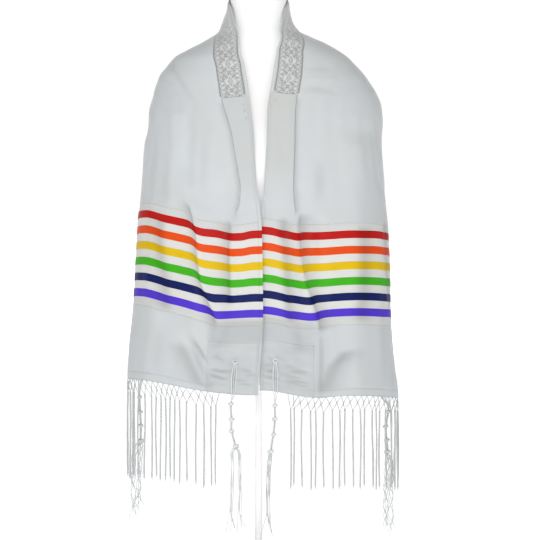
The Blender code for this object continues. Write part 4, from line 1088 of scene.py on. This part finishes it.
class TALLIT_OT_tassels(bpy.types.Operator):
    """Tie the four corner tassels"""

    bl_idname = "tallit.tassels"
    bl_label = "Tassels"

    def execute(self, context):
        for name, row in TASSELS.items():
            self.tassel(context.scene.tallit_fringe, name, *row)
        return {"FINISHED"}

    def tassel(self, sizes, name, side, up, across, knots, route, groups):
        on_square = [on_cloth(side * (HALF_LENGTH - share * up), across, CORD_LIFT)
                     for share in (1.0, 0.5, 0.0)]
        depth = float(on_square[-1][1])
        line = smooth_route(on_square + [(x, depth, height) for x, height in route], CORD_STEP)
        cord = Yarns()
        cord.strand(line, sizes.strand, 8)
        piece = cord.piece(f"tassel_{name}", f"tzitzit_{name}")
        last = line[line[:, 2] <= knots[-1]]
        last = np.vstack([last, last[-1] - (0.0004, 0, 0.006), last[-1] - (0.0, 0, 0.014)])
        routes = [last] + [smooth_route([last[0], *((x, depth, z) for x, z in group)], CORD_STEP)
                           for group in groups]
        parts = [self.winding(name, side, line, knots, sizes.strand),
                 self.loops(name, line[line[:, 2] >= knots[0] - 0.002], 1.15 * sizes.strand),
                 self.strands(sizes, name, side, routes, line[-1])]

    def winding(self, name, side, line, knots, radius):
        """The wound part between the first and the last knot, and the knots."""
        made = Yarns()
        heights = line[:, 2]
        part = line[(heights <= knots[0] + 0.004) & (heights >= knots[-1])]
        fine = smooth_route(part, 0.00020)
        wound, pitch, thick = (radius * share for share in WINDING)
        made.strand(twisted(fine, wound, pitch, side), thick, 5)
        for k, (height, knot_size) in enumerate(zip(knots, KNOT_SIZES)):
            here = line[np.argmin(np.abs(heights - height))] + (0.0007 * math.cos(2.6 * k + side), 0, 0)
            made.knot(here, knot_size, 5, seed=k * 1.7 + side)
        return made.piece(f"tassel_{name}_winding")

    def loops(self, name, line, radius):
        """The worked eyelet, and the strands from it down the square to the first knot."""
        made = Yarns()
        share = np.linspace(0, 1, len(line))
        for apart, behind in EYELET_STRANDS:
            aside = apart * np.sin(np.pi * share**0.75) ** 0.8
            back = behind * np.sin(np.pi * np.clip(share / 0.8, 0, 1))
            made.strand(line + np.stack([aside, back, 0 * aside], -1), radius, 6)
        turn = np.linspace(0, 2 * np.pi, 16, endpoint=False)
        eyelet = np.stack([0.0046 * np.cos(turn), -0.0004 * np.sin(turn * 2), 0.0040 * np.sin(turn)], -1)
        made.strand(line[0] + (0, 0.0006, 0) + eyelet, 0.0012, 6, closed=True)
        return made.piece(f"tassel_{name}_loops")

    def strands(self, sizes, name, side, routes, cord_end):
        """The loose strands below the last knot, each ending in a small knot of its own."""
        made = Yarns()
        for k in range(sizes.strands):
            route = routes[k % len(routes)]
            share = np.linspace(0, 1, len(route))
            loose = 0.0040 if len(routes) == 1 else 0.0030
            loose = loose + 0.0050 * np.clip(share - 0.60, 0, 1) ** 1.1
            pitch = 0.240 + 0.030 * k
            if name.endswith("outer"):
                loose, pitch = 1.5 * loose, 0.23 * pitch
            own = twisted(route, loose * np.clip(share / 0.04, 0.2, 1), pitch, 2.4 * k + side)
            flare = 0.024 * np.clip(share - 0.76, 0, 1)[:, None] ** 1.2
            own = own + flare * np.array([math.sin(2.1 * k + 0.7 * side) * 2.2,
                                          math.cos(1.3 * k) * 0.8, 0.15 * math.sin(3.0 * k)])
            own = own[: len(own) - (2 * k) % 5]
            thinning = np.interp(np.linspace(0, 1, len(own)), (0, 0.95, 1), (1, 0.9, 0.55))
            made.strand(own, 1.15 * sizes.strand * thinning, 6)
            made.knot(own[-2], 0.0021, 2, seed=k)
        made.knot(cord_end, 0.0023, 2, seed=2.0)
        return made.piece(f"tassel_{name}_strands")


class TALLIT_OT_body(bpy.types.Operator):
    """Lay the plain body of the shawl over the form"""

    bl_idname = "tallit.body"
    bl_label = "Body"

    def execute(self, context):
        half = cloth_rows(0.0, INSET_START - SEAM, 0.004)
        along = np.concatenate([-half[:0:-1], half])[:, None]
        layer("shawl_body", along, cloth_columns()[None, :], 0.0, -context.scene.tallit_cloth.thickness,
              wool_finish(), "wool", "body_back", "body_left", "body_right")
        return {"FINISHED"}


# The pattern's sprigs: place from between two medallions and from the middle, turn, length, width.
SPRIGS = ((0.0045, 0.0050, 0.95, 0.0050, 0.0019), (0.0010, 0.0105, 0.25, 0.0042, 0.0019),
          (0.0105, 0.0100, 1.30, 0.0052, 0.0020))


def groove(distance, half_width):
    """1 in a groove along an outline, 0 away from it."""
    return np.clip(1.25 - np.abs(distance) / half_width, 0, 1)


def within(distance):
    """1 inside an outline, 0 outside it."""
    return np.clip(0.5 - distance / 0.0009, 0, 1)


def figure(along, out, repeat):
    """The woven pattern, 1 on the raised threads and 0 in the grooves that outline them."""
    far = np.abs(along) + 0 * out
    out = out + 0 * far
    v = np.abs(out)
    u = ((far / repeat) % 1.0 - 0.5) * repeat
    # Leaf-shaped medallions along the middle, with smaller sprigs between them.
    leaf = (np.abs(u) / 0.0088 + (v / 0.0046) ** 1.2 - 1) * 0.0046
    grooves = [groove(leaf, 0.0010), 0.62 * within(leaf + 0.0012) * (1 - groove(out, 0.0007))]
    q = repeat / 2 - np.abs(u)
    for at_q, at_v, turn, length, width in SPRIGS:
        x = (q - at_q) * math.cos(turn) + (v - at_v) * math.sin(turn)
        y = (v - at_v) * math.cos(turn) - (q - at_q) * math.sin(turn)
        petal = (np.hypot(x / length, y / width) - 1) * width
        grooves += [groove(petal, 0.0008), 0.8 * groove(y, 0.0004) * within(petal)]
    # Scallops along both borders, some hatched, some veined.
    pitch = repeat / 4
    a = ((far / pitch + 0.25 * np.sign(out)) % 1.0 - 0.5) * pitch
    scallop = (np.hypot(a / 0.0040, (v - 0.0165) / 0.0050) - 1) * 0.0040
    grooves.append(0.9 * groove(scallop, 0.0008))
    hatched = np.sin(far * 2 * np.pi / 0.083 + 1.4 * np.sign(out)) > 0.1
    hatch = np.abs(((far + 0.55 * v) / 0.0036) % 1.0 - 0.5) * 0.0036
    border = within(np.abs(v - 0.0160) - 0.0046)
    grooves.append(np.where(hatched, 0.85, 0.45) * groove(hatch, 0.0007) * border)
    # The serrated borders and the odd floating thread.
    saw = np.abs((far / 0.0043) % 1.0 - 0.5) * 2
    grooves.append(np.clip((v - 0.0231 + 0.0018 * saw) / 0.0007, 0, 1))
    odd = np.sin(far * 2311.0 + out * 1373.0) * np.sin(out * 2917.0 - far * 811.0 + 1.0)
    grooves.append(0.55 * np.clip((odd - 0.45) / 0.3, 0, 1))
    return 1 - np.clip(np.max(grooves, axis=0), 0, 1)


class TALLIT_OT_neckband(bpy.types.Operator):
    """Sew on the brocade neckband"""

    bl_idname = "tallit.neckband"
    bl_label = "Neckband"

    def execute(self, context):
        share = np.linspace(-1, 1, 57)[None, :]
        along = np.linspace(-1, 1, 651)[:, None] * (ATARA_END - 0.005 * np.abs(share) ** 3)
        inner = np.interp(np.abs(along), (0.17, 0.25), (0.0030, ATARA_INNER))
        across = (inner + ATARA_OUTER + (ATARA_OUTER - inner) * share) / 2
        out = share * (ATARA_OUTER - ATARA_INNER) / 2
        raised = figure(along, out, context.scene.tallit_cloth.flower_repeat)
        worn = np.interp(np.abs(along), (0.13, 0.21), (0.35, 1.0))
        raised = 1 - (1 - raised) * worn
        rounded = np.sqrt(np.clip(1 - np.abs(share) ** 14, 0, 1))
        ends = np.clip((ATARA_END - np.abs(along)) / 0.002, 0.2, 1)
        top = RIM + (0.0013 + 0.00045 * raised) * rounded * ends
        layer("neckband", along, across, top, SEWN_ON, brocade_finish(), "brocade", "atara",
              motif=raised)
        return {"FINISHED"}


class TALLIT_OT_pleats(bpy.types.Operator):
    """Press the fold that runs on down from the neckband"""

    bl_idname = "tallit.pleats"
    bl_label = "Pressed folds"

    def execute(self, context):
        for side, name in SIDES.items():
            along = np.linspace(ATARA_END + 0.0006, PLEAT_END, 72)[:, None]
            share = np.concatenate([[0, 0.012, 0.03, 0.06], np.linspace(0.10, 0.90, 19),
                                    [0.93, 0.955, 0.966, 0.978, 0.990, 1.0]])[None, :]
            across = PLEAT_INNER + share * (curve(PLEAT_WIDTH, COLUMN[side], along) - PLEAT_INNER)
            puff = np.sqrt(np.clip(1 - share**18, 0, 1)) * np.clip(share / 0.05, 0, 1) ** 0.5
            fade = np.clip((PLEAT_END + 0.005 - along) / 0.055, 0, 1) ** 0.8
            swell = 0.0006 * np.sin(np.pi * np.clip((along - 0.30) / 0.24, 0, 1)) * share**2
            top = SEWN_ON + (0.0018 * puff + swell) * fade
            pressed = np.clip((PLEAT_END - 0.010 - along) / 0.090, 0, 1)
            # Painted shade: the colour is darkened in a thin band along the fold's outer edge.
            crisp = np.clip((share - 0.962) / 0.02, 0, 1) * np.clip(fade / 0.4, 0, 1)
            layer(f"pressed_fold_{name}", side * along, across, top, SQUARE_FOOT,
                  wool_finish("pressed"), "wool", f"pleat_{name}", motif=pressed,
                  painted_rim_shade=1.15 * crisp)
        return {"FINISHED"}


class TALLIT_OT_insets(bpy.types.Operator):
    """Sew in the two striped insets and their ribbons"""

    bl_idname = "tallit.insets"
    bl_label = "Insets and ribbons"

    def execute(self, context):
        across = cloth_columns()[None, :]
        for side, name in SIDES.items():
            along = cloth_rows(INSET_START + SEAM, INSET_END - SEAM, ROW_STEP)[:, None]
            last = FIRST_RIBBON + RIBBON_PITCH * (len(COLOURS) - 1) + RIBBON_WIDTH
            striped = ((along > FIRST_RIBBON) & (along < last)).astype(float)
            layer(f"striped_inset_{name}", side * along, across, 0.0,
                  -context.scene.tallit_cloth.thickness, inset_finish(), "inset_cloth",
                  f"inset_{name}", motif=striped)
            for k, colour in enumerate(COLOURS):
                start = FIRST_RIBBON + RIBBON_PITCH * k
                along = start + RIBBON_WIDTH * np.array(RIBBON_ROWS)[:, None]
                edge = np.minimum(along - start, start + RIBBON_WIDTH - along)
                top = SEWN_ON + 0.00025 * np.clip(edge / 0.0008, 0, 1) - 0.0001 * bump(edge, 0.0018, 0.0006)
                layer(f"satin_{colour}_{name}", side * along, across, top, RIBBON_FOOT,
                      satin_finish(colour), f"satin_{colour}", f"ribbon_{colour}_{name}")
        return {"FINISHED"}


class TALLIT_OT_ends(bpy.types.Operator):
    """Hem the plain ends and sew on the corner squares"""

    bl_idname = "tallit.ends"
    bl_label = "Ends, hems and corner squares"

    def execute(self, context):
        across = cloth_columns()[None, :]
        thick = context.scene.tallit_cloth.thickness
        for side, name in SIDES.items():
            along = cloth_rows(INSET_END + SEAM, HALF_LENGTH, ROW_STEP)[:, None]
            layer(f"shawl_end_{name}", side * along, across, 0.0, -thick, wool_finish(), "wool",
                  f"end_panel_{name}")
            along = cloth_rows(HALF_LENGTH - HEM_TURN, HALF_LENGTH, ROW_STEP)[:, None]
            layer(f"turned_hem_{name}", side * along, across, -thick - SEWN_ON, -2 * thick - SEWN_ON,
                  wool_finish(), "wool", f"hem_{name}")
            for edge in ("inner", "outer"):
                self.square(side, name, edge)
        return {"FINISHED"}

    def square(self, side, name, edge):
        """A doubled square on one corner, with a stitched rim and a few soft puffs."""
        share = np.concatenate([[0, 0.012, 0.026, 0.04, 0.055], np.linspace(0.085, 0.915, 24),
                                [0.945, 0.96, 0.974, 0.988, 1.0]])
        low = SQUARE_MARGIN if edge == "inner" else WIDTH - SQUARE_MARGIN - SQUARE_SIZE
        along = (HALF_LENGTH - SQUARE_MARGIN - SQUARE_SIZE * share)[::-1][:, None]
        across = (low + SQUARE_SIZE * share)[None, :]
        inward = np.minimum(share, 1 - share) * SQUARE_SIZE
        rim = np.minimum(inward[None, :], inward[::-1][:, None])
        puff = 0.00012 * np.sin(along * 260.0 + 2.0 * np.sin(across * 90.0)) * np.clip(rim / 0.01, 0, 1)
        stitched = 0.00012 * bump(rim, SQUARE_STITCHES, 0.0009)
        top = RIM + 0.0004 * np.clip(rim / 0.0012, 0, 1) ** 0.6 - stitched + puff
        layer(f"corner_square_{name}_{edge}", side * along, across, top, SQUARE_FOOT,
              square_finish(), "wool", f"corner_patch_{name}_{edge}")


class TALLIT_OT_stitching(bpy.types.Operator):
    """Stitch the edges, hems, squares and neckband"""

    bl_idname = "tallit.stitching"
    bl_label = "Stitching"

    def execute(self, context):
        body, band = Yarns(), Yarns()
        for side, name in SIDES.items():
            ends, squares = Yarns(), Yarns()
            body_run = side * 0.003, side * (INSET_START - 0.003)
            end_run = side * (INSET_END + 0.002), side * (HALF_LENGTH - 0.002)
            for across, lift in ((EDGE_STITCHES, ON_INNER_EDGE), (WIDTH - EDGE_STITCHES, ON_OUTER_EDGE)):
                sew(body, body_run, (across, across), ON_CLOTH)
                sew(ends, end_run, (across, across), lift)
            hem = side * (HALF_LENGTH - HEM_TURN)
            sew(ends, (hem, hem), (0.11, WIDTH - 0.11), ON_CLOTH)
            top = side * (SQUARE_TOP + SQUARE_STITCHES)
            foot = side * (HALF_LENGTH - SQUARE_MARGIN - SQUARE_STITCHES)
            for low in (SQUARE_MARGIN, WIDTH - SQUARE_MARGIN - SQUARE_SIZE):
                near, far = low + SQUARE_STITCHES, low + SQUARE_SIZE - SQUARE_STITCHES
                for along, across in (((top, top), (near, far)), ((foot, foot), (near, far)),
                                      ((top, foot), (near, near)), ((top, foot), (far, far))):
                    sew(squares, along, across, ON_SQUARE)
            ends.piece(f"end_stitches_{name}")
            squares.piece(f"square_stitches_{name}")
            for across in (ATARA_INNER + BAND_STITCHES, ATARA_OUTER - BAND_STITCHES):
                sew(band, (side * 0.002, side * (ATARA_END - 0.006)), (across, across), ON_BAND, 0.0046)
        body.piece("edge_stitches")
        band.piece("neckband_stitches")
        return {"FINISHED"}


class TALLIT_OT_fringe(bpy.types.Operator):
    """Knot the fringe below the two hems"""

    bl_idname = "tallit.fringe"
    bl_label = "Fringe"

    def execute(self, context):
        for side, name in SIDES.items():
            self.fringe(context.scene.tallit_fringe, side, name)
        return {"FINISHED"}

    def fringe(self, sizes, side, name):
        """The net of crossed threads below the hem, and the bundles that hang from its knots."""
        made = Yarns()
        places = np.array(BUNDLES[side])
        count = len(places)
        holes = np.interp(np.arange(-1, count + 1), np.arange(count), places)
        holes[0], holes[-1] = 2 * places[0] - places[1], 2 * places[-1] - places[-2]
        even = np.linspace(places[0] - 0.004, places[-1] + 0.004, count + 2)
        holes = 0.45 * holes + 0.55 * even
        ease = np.linspace(0, 1, 7)
        for k, across in enumerate(places):
            wobble = math.sin(2.7 * k + side)
            net = sizes.net * (1 + 0.07 * wobble)
            for from_hole in (k, k + 2):
                up = 0.0006 if from_hole == k else -0.0006
                for thread in (-1, 1):
                    along = HALF_LENGTH - 0.001 + (net + 0.001) * ease
                    apart = 0.00055 * thread * np.sin(np.pi * ease)
                    over = holes[from_hole] + (across - holes[from_hole]) * ease + apart
                    line = on_cloth(side * along, over, up * np.sin(np.pi * ease) - 0.0003)
                    made.strand(line, NET_THREAD, 5)
                made.knot(on_cloth(side * (HALF_LENGTH + 0.0012), holes[from_hole], -0.0003), 0.0017,
                          2, seed=k)
            self.bundle(made, sizes, side, k, across, net, wobble)
        made.piece(f"knotted_fringe_{name}", f"fringe_{name}", kind="yarn")

    def bundle(self, made, sizes, side, k, across, net, wobble):
        """One twisted bundle below its knot."""
        reach = sizes.reach * (1 + 0.022 * math.sin(1.9 * k + 2 * side)) - 0.002
        along = np.arange(HALF_LENGTH + net, HALF_LENGTH + reach, 0.0025)
        down = along - HALF_LENGTH - net
        sway = 0.0011 * np.sin(down * (16 + 3 * wobble) + 2.0 * k) * np.clip(down / 0.05, 0, 1)
        line = on_cloth(side * along, across + sway, -0.0003 + 0.6 * sway)
        made.knot(line[0], 0.0042, 3, seed=0.8 * k)
        for ply in range(2):
            own = twisted(line, 0.85 * sizes.ply, sizes.pitch * (1 + 0.12 * wobble), math.pi * ply + k)
            made.strand(own, sizes.ply, 6)
        tip = line[-1]
        for hair in range(3):
            lean = np.array([math.sin(2.2 * hair + k), math.cos(1.7 * hair + k), -2.2 - hair * 0.5])
            ends = tip + 0.0012 * lean, tip + 0.0020 * lean * (1.2, 1.2, 1)
            made.strand(np.array([tip, *ends]), HAIR, 5)
        if k % 5 == 2:
            stray = line[len(line) // 3:]
            share = np.linspace(0, 1, len(stray))[:, None]
            bow = np.sin(np.pi * share * 0.9) * np.array([0.0042 * math.sin(k + side), 0.001, 0.0])
            made.strand(stray + bow + 0.0006, HAIR, 5)


class TALLIT_OT_form(bpy.types.Operator):
    """Mould the dress form's shell, and finish its pole and base"""

    bl_idname = "tallit.form"
    bl_label = "Dress form"

    def execute(self, context):
        heights = np.unique(np.concatenate([[row[0] for row in FORM], np.linspace(0.365, 0.88, 42),
                                            np.linspace(1.115, 1.172, 8), [0.3585, 1.1742]]))
        angles = np.linspace(0, 2 * np.pi, FORM_SIDES, endpoint=False)
        points = ovals(FORM, heights[:, None], angles[None, :]).reshape(-1, 3)
        caps = [list(range(FORM_SIDES))[::-1], list(range(len(points) - FORM_SIDES, len(points)))]
        mesh = bpy.data.meshes.new("form_shell")
        mesh.from_pydata(points.tolist(), [], tube_faces(len(heights), FORM_SIDES) + caps)
        mesh.shade_smooth()
        mesh.set_sharp_from_angle(angle=math.radians(40))
        lit = bpy.data.collections.new("form_only")
        lit.objects.link(place("form_shell", mesh, shell_finish(), "form_shell", "form_torso"))
        bpy.data.objects[OPENING_LAMP].light_linking.receiver_collection = lit
        paint = paint_finish()
        for node in ("form_pole", "form_base"):
            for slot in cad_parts[node].material_slots:
                slot.material = paint
        return {"FINISHED"}


class TALLIT_OT_declare(bpy.types.Operator):
    """An empty step: it does nothing"""

    bl_idname = "tallit.declare"
    bl_label = "Sheets"

    def execute(self, context):
        return {"FINISHED"}


STEPS = (TALLIT_OT_stage, TALLIT_OT_tassels, TALLIT_OT_body, TALLIT_OT_neckband, TALLIT_OT_pleats,
         TALLIT_OT_insets, TALLIT_OT_ends, TALLIT_OT_stitching, TALLIT_OT_fringe, TALLIT_OT_form,
         TALLIT_OT_declare)
GROUPS = {"tallit_cloth": ClothLook, "tallit_ribbons": RibbonColours, "tallit_fringe": FringeSizes,
          "tallit_form": FormLook}


class TALLIT_PT_panel(bpy.types.Panel):
    """The steps and what they read"""

    bl_idname = "TALLIT_PT_panel"
    bl_label = "Tallit"
    bl_space_type = "VIEW_3D"
    bl_region_type = "UI"
    bl_category = "Tallit"

    def draw(self, context):
        for name, group in GROUPS.items():
            box = self.layout.box()
            for key in group.__annotations__:
                box.prop(getattr(context.scene, name), key)
        for step in STEPS:
            self.layout.operator(step.bl_idname)


def register():
    for name, group in GROUPS.items():
        bpy.utils.register_class(group)
        setattr(bpy.types.Scene, name, PointerProperty(type=group))
    for step in STEPS:
        bpy.utils.register_class(step)
    bpy.utils.register_class(TALLIT_PT_panel)


def unregister():
    bpy.utils.unregister_class(TALLIT_PT_panel)
    for step in reversed(STEPS):
        bpy.utils.unregister_class(step)
    for name, group in GROUPS.items():
        delattr(bpy.types.Scene, name)
        bpy.utils.unregister_class(group)


def main():
    register()
    for step in STEPS:
        getattr(bpy.ops.tallit, step.bl_idname.split(".")[1])()


if __name__ == "__main__":
    main()
